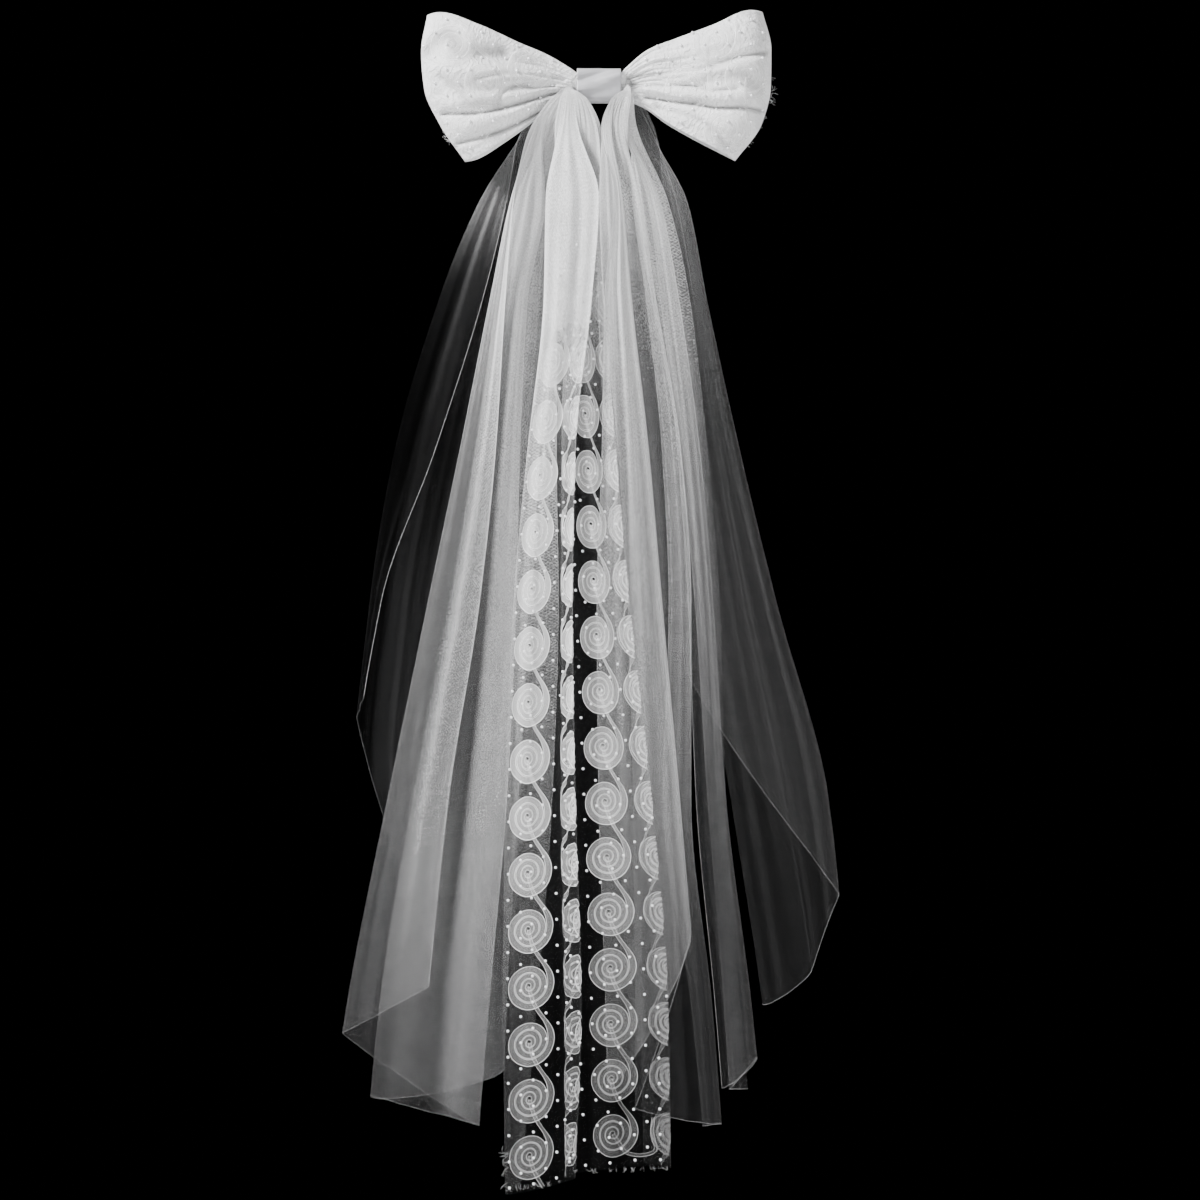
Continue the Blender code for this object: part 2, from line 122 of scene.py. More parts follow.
TULLE_RIGHT_INNER_FOLDS = (
    Fold("left_edge", (-0.005, 0.031, 0.012, 0.006, -0.004, 0.000, 0.014, 0.022), -0.680, 0.895, 0.018),
    Fold("right_fold", (0.022, 0.047, 0.065, 0.100, 0.127, 0.163, 0.196, 0.216), -0.615, 0.759, 0),
    Fold("hidden_fold", (0.006, 0.001, 0.008, 0.038, 0.058, 0.069, 0.073, 0.073), -0.550, 0.918, 0.003),
    Fold("far_fold", (0.045, 0.084, 0.114, 0.165, 0.186, 0.186, 0.228, 0.258), -0.485, 0.933, 0),
    Fold("back_edge", (0.057, 0.067, 0.094, 0.127, 0.141, 0.129, 0.186, 0.222), -0.420, 0.936, 0),
)

TULLE_RIGHT_OUTER_FOLDS = (
    Fold("left_edge", (0.045, 0.098, 0.125, 0.160, 0.182, 0.198, 0.236, 0.267), -0.090, 0.905, 0.004),
    Fold("right_fold", (0.055, 0.124, 0.163, 0.206, 0.233, 0.259, 0.310, 0.349), -0.025, 0.878, 0),
    Fold("hidden_fold", (0.063, 0.072, 0.108, 0.164, 0.196, 0.222, 0.255, 0.278), 0.045, 0.908, 0),
    Fold("back_fold", (0.073, 0.141, 0.186, 0.222, 0.247, 0.259, 0.288, 0.324), 0.110, 0.908, 0),
)

SHEER_RIGHT_FOLDS = (
    Fold("front_edge", (0.039, 0.084, 0.114, 0.151, 0.169, 0.186, 0.200, 0.210), 0.170, 0.520, 0),
    Fold("front_wave", (0.063, 0.141, 0.186, 0.245, 0.314, 0.388, 0.440, 0.470), 0.200, 0.671, 0),
    Fold("outer_fold", (0.104, 0.182, 0.222, 0.290, 0.365, 0.471, 0.510, 0.530), 0.270, 0.730, 0),
    Fold("back_wave", (0.113, 0.160, 0.196, 0.243, 0.298, 0.380, 0.445, 0.480), 0.340, 0.800, 0.006),
    Fold("inner_edge", (0.122, 0.135, 0.165, 0.186, 0.206, 0.271, 0.335, 0.380), 0.390, 0.832, 0),
)

# pleats: how many soft pleats run down each part between two folds. fullness: how closely the cloth is gathered
# at STATIONS, 1 being a flat layer. bands: places across the folds, with how densely the small pressed folds lie
# there in the upper and the lower part. edges: how much the left, right and lower cut edges show.
Fall = namedtuple("Fall", "name folds root side hump pleats finish slot fullness bands edges")

FALLS = (
    Fall("lace_panel", LACE_FOLDS, FRONT_ROOT, -1, -0.32, 3, "lace_net", "panel_lace",
         (700, 420, 150, 12, 5, 2.6, 1.4, 1),
         ((0, 16, 9), (0.85, 12, 5), (1, 5, 3), (1.15, 3, 1.5), (2, 1, 1), (3, 0.8, 1), (4, 1, 1.5), (5, 1, 2)), (0, 0, 0)),
    Fall("tulle_left", TULLE_LEFT_FOLDS, SECOND_ROOT, -1, -0.32, 3, "tulle", "tulle",
         (90, 60, 18, 6, 4.3, 3.0, 1.6, 1.0),
         ((0, 3, 2.4), (0.5, 3, 2), (0.58, 0.9, 0.9), (1, 0.7, 0.9), (1.6, 0.3, 0.6), (1.66, 2.4, 2.2),
          (2.4, 2.4, 2.2), (2.46, 0.3, 0.8), (3, 0.4, 1.2), (3.5, 0.3, 0.7), (3.56, 2.4, 2.4), (4, 2.4, 2.4)),
         (0.25, 0, 0.12)),
    Fall("sheer_left", SHEER_LEFT_FOLDS, BACK_ROOT, -1, 0.14, 3, "sheer", "sheer_tulle",
         (26, 17, 1.0, 0.4, 0.8, 1.0, 1.0, 1.0),
         ((0, 0.7, 1), (1.4, 0.7, 1), (1.5, 4.5, 1.6), (3, 4.5, 1.6)), (0.35, 0, 0.08)),
    Fall("tulle_right_inner", TULLE_RIGHT_INNER_FOLDS, FRONT_ROOT, 1, -0.32, 4, "tulle", "tulle",
         (60, 36, 13, 5, 3.4, 1.9, 1.1, 1.0),
         ((0, 3.6, 3.2), (0.35, 3.4, 2.8), (0.41, 2.8, 2.4), (0.57, 2.8, 2.4), (0.62, 4.2, 2.9), (1, 3.8, 2.6),
          (1.4, 0.6, 0.5), (2, 0.9, 0.4), (2.5, 1.2, 0.5), (3, 1.6, 0.5), (4, 1.5, 0.5)), (0.25, 0, 0.15)),
    Fall("tulle_right_outer", TULLE_RIGHT_OUTER_FOLDS, SECOND_ROOT, 1, -0.32, 3, "tulle", "tulle",
         (60, 36, 11, 3.2, 1.6, 1.0, 0.8, 0.9),
         ((0, 1.4, 1), (1, 1.2, 0.9), (2, 1, 1), (3, 1.2, 1)), (0.2, 0, 0.2)),
    Fall("sheer_right", SHEER_RIGHT_FOLDS, BACK_ROOT, 1, 0.14, 3, "sheer", "sheer_tulle",
         (34, 22, 12, 5.0, 4.0, 3.6, 3.0, 1.9),
         ((0, 1.2, 1.4), (1, 1, 1), (3, 1, 0.9), (4, 1, 0.9)), (0.15, 0, 0.2)),
)

# The pressed bands start below the knot and change to those of the lower part over these drops
BANDS_FROM, BANDS_FULL = 0.10, 0.22
LOWER_FROM, LOWER_FULL = 0.55, 0.85

COLUMNS_PER_FOLD = 30
SHOULDER_ROWS = 14
FALL_ROWS = 120
ROW_CROWDING = 1.15

# Soft pleats between the folds: their height where they are fullest, and small crimps that fade below the knot
PLEAT_HEIGHT = 1.6 * MM
CRIMP_HEIGHT = 0.16 * MM
CRIMPS_PER_FOLD = 5
CRIMP_FADED_AT = 0.35

EDGE_STATIONS = (0.0, 0.2, 0.4, 0.65, 0.93, 1.0)
END_STATIONS = (0.0, 0.25, 0.5, 0.75, 1.0)
Crease = namedtuple("Crease", "name at_knot at_end relief")

LEFT_CREASES = (
    Crease("top_edge", 0.00, 0.00, 0.00),
    Crease("top_ridge", 0.13, 0.11, 0.09),
    Crease("upper_valley", 0.28, 0.25, -0.07),
    Crease("middle_ridge", 0.45, 0.42, 0.13),
    Crease("middle_valley", 0.62, 0.56, -0.10),
    Crease("lower_ridge", 0.71, 0.63, 0.07),
    Crease("deep_valley", 0.80, 0.70, -0.13),
    Crease("lip_ridge", 0.88, 0.80, 0.09),
    Crease("lip_valley", 0.95, 0.90, -0.08),
    Crease("bottom_edge", 1.00, 1.00, 0.02),
)

RIGHT_CREASES = (
    Crease("top_edge", 0.00, 0.00, 0.00),
    Crease("top_ridge", 0.17, 0.13, 0.10),
    Crease("upper_valley", 0.36, 0.28, -0.10),
    Crease("upper_ridge", 0.45, 0.41, 0.10),
    Crease("middle_valley", 0.55, 0.55, -0.09),
    Crease("middle_ridge", 0.70, 0.62, 0.10),
    Crease("deep_valley", 0.85, 0.69, -0.16),
    Crease("lip_ridge", 0.93, 0.85, 0.08),
    Crease("bottom_edge", 1.00, 1.00, 0.00),
)

Loop = namedtuple("Loop", "name side rise fall reach creases")

LOOPS = (
    Loop(
        "bow_loop_left",
        -1,
        rise=(0.000, 0.115, 0.200, 0.308, 0.394, 0.385),
        fall=(0.000, 0.035, 0.155, 0.290, 0.410, 0.420),
        reach=(0.977, 1.011, 0.994, 0.903, 0.760),
        creases=LEFT_CREASES,
    ),
    Loop(
        "bow_loop_right",
        1,
        rise=(0.000, 0.152, 0.225, 0.307, 0.408, 0.405),
        fall=(0.000, 0.060, 0.167, 0.276, 0.386, 0.414),
        reach=(0.931, 0.980, 0.977, 0.926, 0.774),
        creases=RIGHT_CREASES,
    ),
)

FRONT_FULLNESS = 0.75
BACK_FULLNESS = 0.05
EDGE_LOSS = 0.45
FULLEST_POWER = 1.7
CREASED_FROM = 0.5
LOOP_COLUMNS = 130
LOOP_ROWS = 100

# Sharp creases pressed into the front of the bow, with painted shade along them: depth, width and places from the
# knot's centre, in mm
Groove = namedtuple("Groove", "depth width places")

GROOVES = {
    "bow_loop_left": (
        Groove(2.4, 1.5, ((-82, -34), (-63, -29), (-48, -23), (-26, -11))),
        Groove(2.4, 1.6, ((-89, -17), (-71, -17), (-58, -15), (-45, -11), (-22, -4))),
        Groove(1.8, 1.4, ((-58, -11), (-51, -2), (-45, -0.6), (-37, -2), (-26, -0.6))),
        Groove(2.0, 5.0, ((-98, 19), (-85, 27), (-75, 16), (-55, 18))),
        Groove(1.2, 1.2, ((-70, 2), (-50, 6), (-32, 5), (-20, 3))),
        Groove(1.4, 3.0, ((-90, 4), (-80, -4), (-70, -12), (-58, -12))),
    ),
    "bow_loop_right": (
        Groove(2.2, 2.0, ((95, 18), (77, 14), (61, 9), (41, 7), (16, 4))),
        Groove(1.8, 1.4, ((15, 0.6), (38, -0.6), (54, -1.4), (65, -4.6), (78, -3.4))),
        Groove(2.8, 1.5, ((27, -7), (38, -8.9), (54, -10.9), (68, -13.7), (82, -13.7), (93, -15))),
        Groove(1.4, 4.0, ((90, -2), (80, 4), (62, 3))),
        Groove(1.6, 2.2, ((34, -13), (48, -17), (60, -22), (74, -36))),
        Groove(1.2, 1.2, ((18, 2), (34, 3), (50, 4))),
    ),
}

RIDGE_START = (-0.65, -0.15)
RIDGE_END = (0.90, 0.52)
RIDGE_HEIGHT = 2.8 * MM
RIDGE_HALF_WIDTH = 3.0 * MM
KNOT_SQUARENESS = 4.6

# The lace's repeat: wound ribbon rosettes in columns, one above the other, and pearls in a staggered lattice
ROSETTE_RADIUS = 14.7 * MM
RIBBON_WIDTH = 4.2 * MM
INNER_WIDTH = 1.7 * MM
ROSETTE_TURNS = 3.6
ROSETTE_PITCH = 31.7 * MM
FIRST_ROSETTE = 20 * MM  # the lowest one's centre above the hem
# across: a column's centre, share of the panel's width from its left fold to its right one. lean: how far across it
# shifts a metre up. weight: how dense its ribbon is.
Column = namedtuple("Column", "across lean weight")
THIRD_COLUMN = Column(0.735, 0.12, 0.8)
ROSETTE_COLUMNS = (Column(0.125, 0.0, 1.25), Column(0.430, 0.0, 1.0), THIRD_COLUMN, Column(1.0, 0.0, 0.4))
PEARL_RADIUS = 0.82 * MM
PEARL_ACROSS = 7.4 * MM
PEARL_DOWN = 14.6 * MM


def smooth_step(t):
    t = np.clip(t, 0.0, 1.0)
    return t * t * (3 - 2 * t)


def mix(a, b, t):
    return a + (b - a) * t


def slope_at(stations, values, k):
    secants = [
        (values[i + 1] - values[i]) / (stations[i + 1] - stations[i])
        for i in (k - 1, k)
        if 0 <= i < len(stations) - 1
    ]
    if len(secants) == 1:
        return secants[0]
    before, after = secants
    if before * after <= 0:
        return 0.0
    return 2 * before * after / (before + after)


def track(stations, values, at):
    """Values of the smooth curve through the table's values, for an array of places."""
    at = np.clip(np.asarray(at, dtype=float), stations[0], stations[-1])
    places = np.asarray(stations, dtype=float)
    levels = np.asarray(values, dtype=float)
    slopes = np.array([slope_at(stations, values, k) for k in range(len(stations))])
    k = np.clip(np.searchsorted(places, at, side="right") - 1, 0, len(stations) - 2)
    step = places[k + 1] - places[k]
    t = (at - places[k]) / step
    pulls = t * (1 - t) ** 2 * step * slopes[k] + t * t * (t - 1) * step * slopes[k + 1]
    return mix(levels[k], levels[k + 1], smooth_step(t)) + pulls


def shoulder(side, rank, end_x, end_z, t, front):
    """The way from the knot's side opening to the first station. A front fall's inner part laps over the knot."""
    start_x = side * MOUTH_X
    start_z = mix(ROOT_TOP, ROOT_BOTTOM * (0.75 if front else 1), rank)
    first_x = start_x + side * mix(OUTER_SWING, 0.06 if front else INNER_SWING, rank) * KNOT_WIDTH
    first_z = start_z - FIRST_DROP * KNOT_HEIGHT * (1 - rank if front else 1)
    last_x = mix(end_x, start_x, TURN_BACK)
    last_z = end_z + TURN_HEIGHT * (-KNOT_HEIGHT / 2 - end_z)
    if front:
        last_x = mix(last_x, side * LAP_X, smooth_step(rank))
        last_z = mix(last_z, LAP_Z, smooth_step(rank))
    places_x = start_x, first_x, last_x, end_x
    places_z = start_z, first_z, last_z, end_z
    weights = bezier_weights(t)
    return sum(w * x for w, x in zip(weights, places_x)), sum(w * z for w, z in zip(weights, places_z))


def bezier_weights(t):
    return (1 - t) ** 3, 3 * t * (1 - t) ** 2, 3 * t * t * (1 - t), t**3


def fall_columns(fall):
    """Arrays over a fall's columns: the fold before each, how far on it is to the next, and its rank."""
    count = (len(fall.folds) - 1) * COLUMNS_PER_FOLD
    place = np.arange(count + 1) / COLUMNS_PER_FOLD
    index = np.minimum(place.astype(int), len(fall.folds) - 2)
    t = place - index
    rank = place / (len(fall.folds) - 1)
    return index, t, rank if fall.side < 0 else 1 - rank


def fall_rows_at(fall, drops):
    """Points of a fall at drops (rows by columns) at or below the first station."""
    index, t, rank = fall_columns(fall)
    swing = (1 - np.cos(np.pi * t)) / 2
    folding = (drops - STATIONS[0]) / (GATHERED_UNTIL * (STATIONS[1] - STATIONS[0]))
    ease = mix(t, swing, smooth_step(folding))
    here = np.zeros_like(drops)
    there = np.zeros_like(drops)
    for i, fold in enumerate(fall.folds):
        values = track(STATIONS, fold.across, drops)
        here[:, index == i] = values[:, index == i]
        there[:, index + 1 == i] = values[:, index + 1 == i]
    x = VEIL_SPREAD * mix(here, there, ease)
    depths = np.array([fold.depth for fold in fall.folds])
    rolled = t + ROUNDNESS * np.sin(2 * np.pi * t) / (2 * np.pi)
    opened = np.clip((drops - STATIONS[0]) / (FULL_DEPTH_AT - STATIONS[0]), 0, 1) ** OPENING_POWER
    gathered = fall.root + fall.hump * LOOP_DEPTH
    y = mix(gathered, VEIL_DEPTH * mix(depths[index], depths[index + 1], rolled), opened)
    z = -KNOT_HEIGHT / 2 - VEIL_LENGTH * drops
    return np.stack([x, KNOT_Y + y, z], axis=-1)


def fall_surface(fall):
    """The fall's points, rows by columns, from inside the knot to the hem."""
    index, t, rank = fall_columns(fall)
    swing = (1 - np.cos(np.pi * t)) / 2
    hems = np.array([fold.hem for fold in fall.folds])
    sags = np.array([fold.sag for fold in fall.folds])
    hem = mix(hems[index], hems[index + 1], swing) + sags[index] * np.sin(np.pi * t)
    down = (np.arange(1, FALL_ROWS + 1) / FALL_ROWS) ** ROW_CROWDING
    drops = STATIONS[0] + down[:, None] * (hem - STATIONS[0])[None, :]
    top = fall_rows_at(fall, np.full((1, len(t)), STATIONS[0]))[0]
    part = np.arange(1, SHOULDER_ROWS + 1)[:, None] / SHOULDER_ROWS
    front = fall.root == FRONT_ROOT
    x, z = shoulder(fall.side, rank[None, :], top[None, :, 0], top[None, :, 2], part, front)
    haste = FRONT_HASTE if front else HUMP_HASTE
    y = KNOT_Y + fall.root + smooth_step(haste * part) * fall.hump * LOOP_DEPTH
    bend = np.stack([x, np.broadcast_to(y, x.shape), z], axis=-1)
    root_z = z[0]
    inside = np.stack(
        [np.full_like(t, fall.side * (KNOT_WIDTH / 2 - ROOT_REACH)), np.full_like(t, KNOT_Y + fall.root), root_z],
        axis=-1,
    )
    mouth = inside.copy()
    mouth[:, 0] = fall.side * MOUTH_X
    smooth = np.concatenate([inside[None], mouth[None], bend, fall_rows_at(fall, drops)])
    return crimped(fall, eased(smooth, 2 + SHOULDER_ROWS))


def eased(points, middle, above=7, below=5, passes=16):
    """Rounds off the bend of a grid at one row, over the rows near it."""
    points = points.copy()
    for _ in range(passes):
        near = points[middle - above:middle + below + 1]
        points[middle - above + 1:middle + below] = (near[:-2] + near[1:-1] + near[2:]) / 3
    return points


def crimped(fall, points):
    """Adds soft pleats between the folds and the small crimps that run down from the knot."""
    parts = len(fall.folds) - 1
    place = np.linspace(0, parts, points.shape[1])[None, :]
    drop = np.clip((-KNOT_HEIGHT / 2 - points[..., 2]) / VEIL_LENGTH, 0, 1)
    seed = random.Random(fall.name)
    first, second, third, fourth = (seed.uniform(0, 2 * math.pi) for _ in range(4))
    between = np.sin(np.pi * (place % 1)) ** 2
    turn = 2 * math.pi * fall.pleats * place
    pleat = np.sin(turn + first + 2.2 * np.sin(3.1 * drop + second + 1.7 * place))
    pleat += 0.5 * np.sin(1.63 * turn + third - 2.6 * drop)
    width = np.linalg.norm(np.gradient(points, axis=1), axis=-1) * COLUMNS_PER_FOLD / fall.pleats
    height = np.minimum(PLEAT_HEIGHT, 0.16 * width)
    fine = 2 * math.pi * CRIMPS_PER_FOLD * place
    crimp = np.sin(fine + fourth + 1.3 * np.sin(9 * drop + place)) + 0.5 * np.sin(0.43 * fine + 8 * drop)
    started = smooth_step(np.arange(points.shape[0]) / SHOULDER_ROWS)[:, None]
    fade = 1 - smooth_step(drop / CRIMP_FADED_AT)
    shift = started * between * (height * pleat * (0.3 + 0.7 * smooth_step(drop / 0.15)))
    shift += started * np.minimum(CRIMP_HEIGHT, 0.3 * width) * fade * crimp * np.sqrt(between)
    return points + surface_normals(points) * shift[..., None]


def surface_normals(points):
    """Unit normals of a grid of points."""
    across = np.gradient(points, axis=1)
    down = np.gradient(points, axis=0)
    normals = np.cross(across, down)
    length = np.linalg.norm(normals, axis=-1, keepdims=True)
    return normals / np.maximum(length, 1e-12)


def loop_surface(loop, behind):
    """Points of one layer of a bow loop: rows across the band, columns from the knot to the outer end, and the painted
    shade that darkens the colour along the front's grooves.
    """
    count = len(loop.creases)
    places = np.linspace(0, count - 1, LOOP_ROWS + 1)
    index = np.minimum(places.astype(int), count - 2)
    t = smooth_step(places - index)
    at_knot = np.array([crease.at_knot for crease in loop.creases])
    at_end = np.array([crease.at_end for crease in loop.creases])
    reliefs = np.array([crease.relief for crease in loop.creases])
    linear = places - index
    knot_share = mix(at_knot[index], at_knot[index + 1], linear)[:, None]
    end_share = mix(at_end[index], at_end[index + 1], linear)[:, None]
    relief = mix(reliefs[index], reliefs[index + 1], t)[:, None]
    angle = np.pi * np.arange(LOOP_COLUMNS + 1) / LOOP_COLUMNS
    along = (np.sin(angle / 2) ** 2)[None, :]
    share = mix(knot_share, end_share, along)
    reach = BOW_SPAN / 2 * track(END_STATIONS, loop.reach, share)
    x = mix(KNOT_WIDTH / 2, reach, along)
    top = NECK_HALF_HEIGHT + BOW_HEIGHT * track(EDGE_STATIONS, loop.rise, along)
    bottom = -NECK_HALF_HEIGHT - BOW_HEIGHT * track(EDGE_STATIONS, loop.fall, along)
    z = mix(top, bottom, share)
    fullest = FULLEST_POWER / (FULLEST_POWER + 0.5)
    swell = along**FULLEST_POWER / (fullest**FULLEST_POWER * math.sqrt(1 - fullest))
    edge = 1 - EDGE_LOSS * (2 * share - 1) ** 2
    if behind:
        y = NECK_Y + LOOP_DEPTH * BACK_FULLNESS * swell * edge
    else:
        creased = relief * smooth_step(along / CREASED_FROM)
        fine = 0.020 * np.sin(62 * share + 4 * along) + 0.014 * np.sin(103 * share - 7 * along)
        lumps = 0.03 * np.sin(19 * share + 9 * along + loop.side) * np.sin(11 * along - 6 * share)
        pinch = fine * smooth_step(along / 0.1) * (1 - 0.75 * smooth_step(along / 0.8)) + lumps * along
        y = -NECK_Y - LOOP_DEPTH * (FRONT_FULLNESS * swell * edge + creased + pinch)
    y = np.sqrt(np.maximum(1 - along, 0.0)) * y
    painted_crease_shade = np.ones_like(y)
    if not behind:
        room = smooth_step((1 - along) / 0.06)
        for groove in GROOVES[loop.name]:
            line = smooth_line([(px * MM, pz * MM) for px, pz in groove.places], 40)
            away = distance_to_line(loop.side * x, z, line)
            press = np.exp(-((away / (groove.width * MM)) ** 2))
            y = y + 1.25 * room * groove.depth * MM * press
            # Painted shade: the base colour is darkened along each groove, more for deeper ones.
            painted_crease_shade *= 1 - min(0.22 * groove.depth, 0.55) * np.exp(-((away / (0.75 * groove.width * MM)) ** 2))
    return np.stack([loop.side * x, KNOT_Y + y, z], axis=-1), painted_crease_shade


def distance_to_line(x, z, line):
    """How far each place is from a line of points, in the plane of the photo."""
    nearest = np.full(x.shape, 1e9)
    for (ax, az), (bx, bz) in zip(line[:-1], line[1:]):
        run_x, run_z = bx - ax, bz - az
        t = np.clip(((x - ax) * run_x + (z - az) * run_z) / (run_x**2 + run_z**2 + 1e-15), 0, 1)
        nearest = np.minimum(nearest, np.hypot(x - ax - t * run_x, z - az - t * run_z))
    return nearest


def loop_band(loop):
    """The whole band: from inside the knot, round the outer end and back in behind, with the front's painted crease
    shade.
    """
    front, painted_crease_shade = loop_surface(loop, behind=False)
    back = loop_surface(loop, behind=True)[0][:, ::-1][:, 1:]
    start = front[:, :1].copy()
    start[..., 0] = loop.side * (KNOT_WIDTH / 2 - NECK_REACH)
    end = back[:, -1:].copy()
    end[..., 0] = start[..., 0]
    painted_crease_shade = np.concatenate([painted_crease_shade[:, :1], painted_crease_shade, np.ones(back.shape[:2]), np.ones((len(back), 1))], axis=1)
    return np.concatenate([start, front, back, end], axis=1), painted_crease_shade


def grid_mesh(points, uvs=None, cover=None):
    """A sheet from a grid of points: a flat grid with each of its vertices moved to its place."""
    rows, columns = points.shape[:2]
    shape = bmesh.new()
    bmesh.ops.create_grid(shape, x_segments=columns - 1, y_segments=rows - 1, size=1)
    mesh = bpy.data.meshes.new("grid")
    shape.to_mesh(mesh)
    shape.free()
    flat = np.empty(3 * len(mesh.vertices))
    mesh.vertices.foreach_get("co", flat)
    flat = flat.reshape(-1, 3)
    row = np.round((1 - flat[:, 1]) * (rows - 1) / 2).astype(int)
    column = np.round((1 + flat[:, 0]) * (columns - 1) / 2).astype(int)
    mesh.vertices.foreach_set("co", points[row, column].ravel())
    if uvs is None:
        uvs = np.zeros((rows, columns, 2))
    corners = np.empty(len(mesh.loops), dtype=int)
    mesh.loops.foreach_get("vertex_index", corners)
    layer = mesh.uv_layers.new(name="cloth")
    layer.data.foreach_set("uv", uvs[row, column][corners].ravel())
    # The vertex attribute holds the layers' worth of cloth on the falls and threads, and painted crease shade on the
    # bow's loops.
    if cover is None:
        cover = np.ones((rows, columns))
    attribute = mesh.attributes.new("cover", "FLOAT", "POINT")
    attribute.data.foreach_set("value", cover[row, column])
    mesh.update()
    return mesh


def joined(meshes):
    """One mesh from several, which are removed."""
    whole = bmesh.new()
    for mesh in meshes:
        whole.from_mesh(mesh)
        bpy.data.meshes.remove(mesh)
    mesh = bpy.data.meshes.new("joined")
    whole.to_mesh(mesh)
    whole.free()
    return mesh


def pearls_at(places, radius):
    """Many small round beads as one mesh."""
    bead = bmesh.new()
    bmesh.ops.create_uvsphere(bead, u_segments=8, v_segments=6, radius=radius)
    mesh = bpy.data.meshes.new("bead")
    whole = bmesh.new()
    last = Vector((0, 0, 0))
    for place in places:
        bmesh.ops.translate(bead, verts=bead.verts, vec=Vector(place) - last)
        last = Vector(place)
        bead.to_mesh(mesh)
        whole.from_mesh(mesh)
    bead.free()
    whole.to_mesh(mesh)
    whole.free()
    return mesh


def finish_piece(name, mesh, material, node=None):
    """Makes the object, rides it on the root body and hides the part it replaces."""
    mesh.name = name
    mesh.shade_smooth()
    mesh.materials.append(material)
    piece = bpy.data.objects.new(name, mesh)
    bpy.context.scene.collection.objects.link(piece)
    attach(piece, "root")
    if node:
        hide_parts(node)
    return piece


# Materials


def new_material(name):
    material = bpy.data.materials.new(name)
    material.use_nodes = True
    tree = material.node_tree
    return material, tree, tree.nodes["Principled BSDF"]


def math_node(tree, operation, a, b=None):
    node = tree.nodes.new("ShaderNodeMath")
    node.operation = operation
    for socket, value in zip(node.inputs, (a, b)):
        if value is None:
            continue
        if isinstance(value, (int, float)):
            socket.default_value = value
        else:
            tree.links.new(value, socket)
    return node.outputs[0]


def remap(tree, value, low, high, to_low, to_high):
    node = tree.nodes.new("ShaderNodeMapRange")
    tree.links.new(value, node.inputs["Value"])
    for key, number in zip(("From Min", "From Max", "To Min", "To Max"), (low, high, to_low, to_high)):
        node.inputs[key].default_value = number
    return node.outputs[0]


def cloth_coordinates(tree, scale, turn=0.0):
    uv = tree.nodes.new("ShaderNodeUVMap")
    uv.uv_map = "cloth"
    mapping = tree.nodes.new("ShaderNodeMapping")
    mapping.inputs["Scale"].default_value = (scale, scale, scale)
    mapping.inputs["Rotation"].default_value = (0, 0, turn)
    tree.links.new(uv.outputs[0], mapping.inputs[0])
    return mapping.outputs[0]


def noise(tree, vector, scale, detail=3.0):
    node = tree.nodes.new("ShaderNodeTexNoise")
    node.inputs["Scale"].default_value = scale
    node.inputs["Detail"].default_value = detail
    tree.links.new(vector, node.inputs["Vector"])
    return node.outputs[0]


def net_mask(tree, pitch, thread):
    """1 on the threads of a diamond net and 0 in its holes."""
    cells = tree.nodes.new("ShaderNodeTexVoronoi")
    cells.feature = "DISTANCE_TO_EDGE"
    cells.inputs["Randomness"].default_value = 0.25
    cells.inputs["Scale"].default_value = 1.0
    tree.links.new(cloth_coordinates(tree, 1 / pitch, math.radians(45)), cells.inputs["Vector"])
    return remap(tree, cells.outputs["Distance"], thread * 0.6, thread, 1.0, 0.0)


def attribute_value(tree, name):
    node = tree.nodes.new("ShaderNodeAttribute")
    node.attribute_name = name
    return node.outputs["Fac"]


def layered_alpha(tree, shader, local, cover):
    """Several layers of the same cloth: what one layer lets through, to the power of how many there are."""
    through = math_node(tree, "POWER", math_node(tree, "SUBTRACT", 1.0, local), cover)
    tree.links.new(math_node(tree, "SUBTRACT", 1.0, through), shader.inputs["Alpha"])


def streaks(tree, width, length, spread):
    """Long soft streaks down the cloth, about 1 on average."""
    uv = tree.nodes.new("ShaderNodeUVMap")
    uv.uv_map = "cloth"
    mapping = tree.nodes.new("ShaderNodeMapping")
    mapping.inputs["Scale"].default_value = (1 / width, 1 / length, 1)
    tree.links.new(uv.outputs[0], mapping.inputs[0])
    return remap(tree, noise(tree, mapping.outputs[0], 1.0, 2.0), 0.3, 0.7, 1 - spread, 1 + spread)


def net_material(name, mean, streak, pitch=1.3 * MM):
    """Fine net: how much it hides follows how closely the cloth is gathered, held in the cover attribute."""
    material, tree, shader = new_material(name)
    shader.inputs["Roughness"].default_value = 0.65
    shader.inputs["Sheen Weight"].default_value = 0.2
    local = remap(tree, net_mask(tree, pitch, 0.16), 0.0, 1.0, mean * 0.7, mean * 1.8)
    for scale, spread in ((90.0, 0.15), (750.0, 0.6)):
        cloudy = noise(tree, cloth_coordinates(tree, 1.0), scale)
        local = math_node(tree, "MULTIPLY", local, remap(tree, cloudy, 0.3, 0.7, 1 - spread, 1 + spread))
    cover = math_node(tree, "MULTIPLY", attribute_value(tree, "cover"), streaks(tree, 6 * MM, 0.25, 0.6 * streak))
    cover = math_node(tree, "MULTIPLY", cover, streaks(tree, 20 * MM, 0.4, streak))
    layered_alpha(tree, shader, local, cover)
    grain = remap(tree, noise(tree, cloth_coordinates(tree, 1.0), 1100.0, 1.0), 0.35, 0.65, 0.0, 1.0)
    tree.links.new(tinted(tree, grain, (0.62, 0.62, 0.63, 1), (1.0, 1.0, 1.0, 1)), shader.inputs["Base Color"])
    raised(tree, shader, grain, 0.7, 0.3 * MM)
    return material


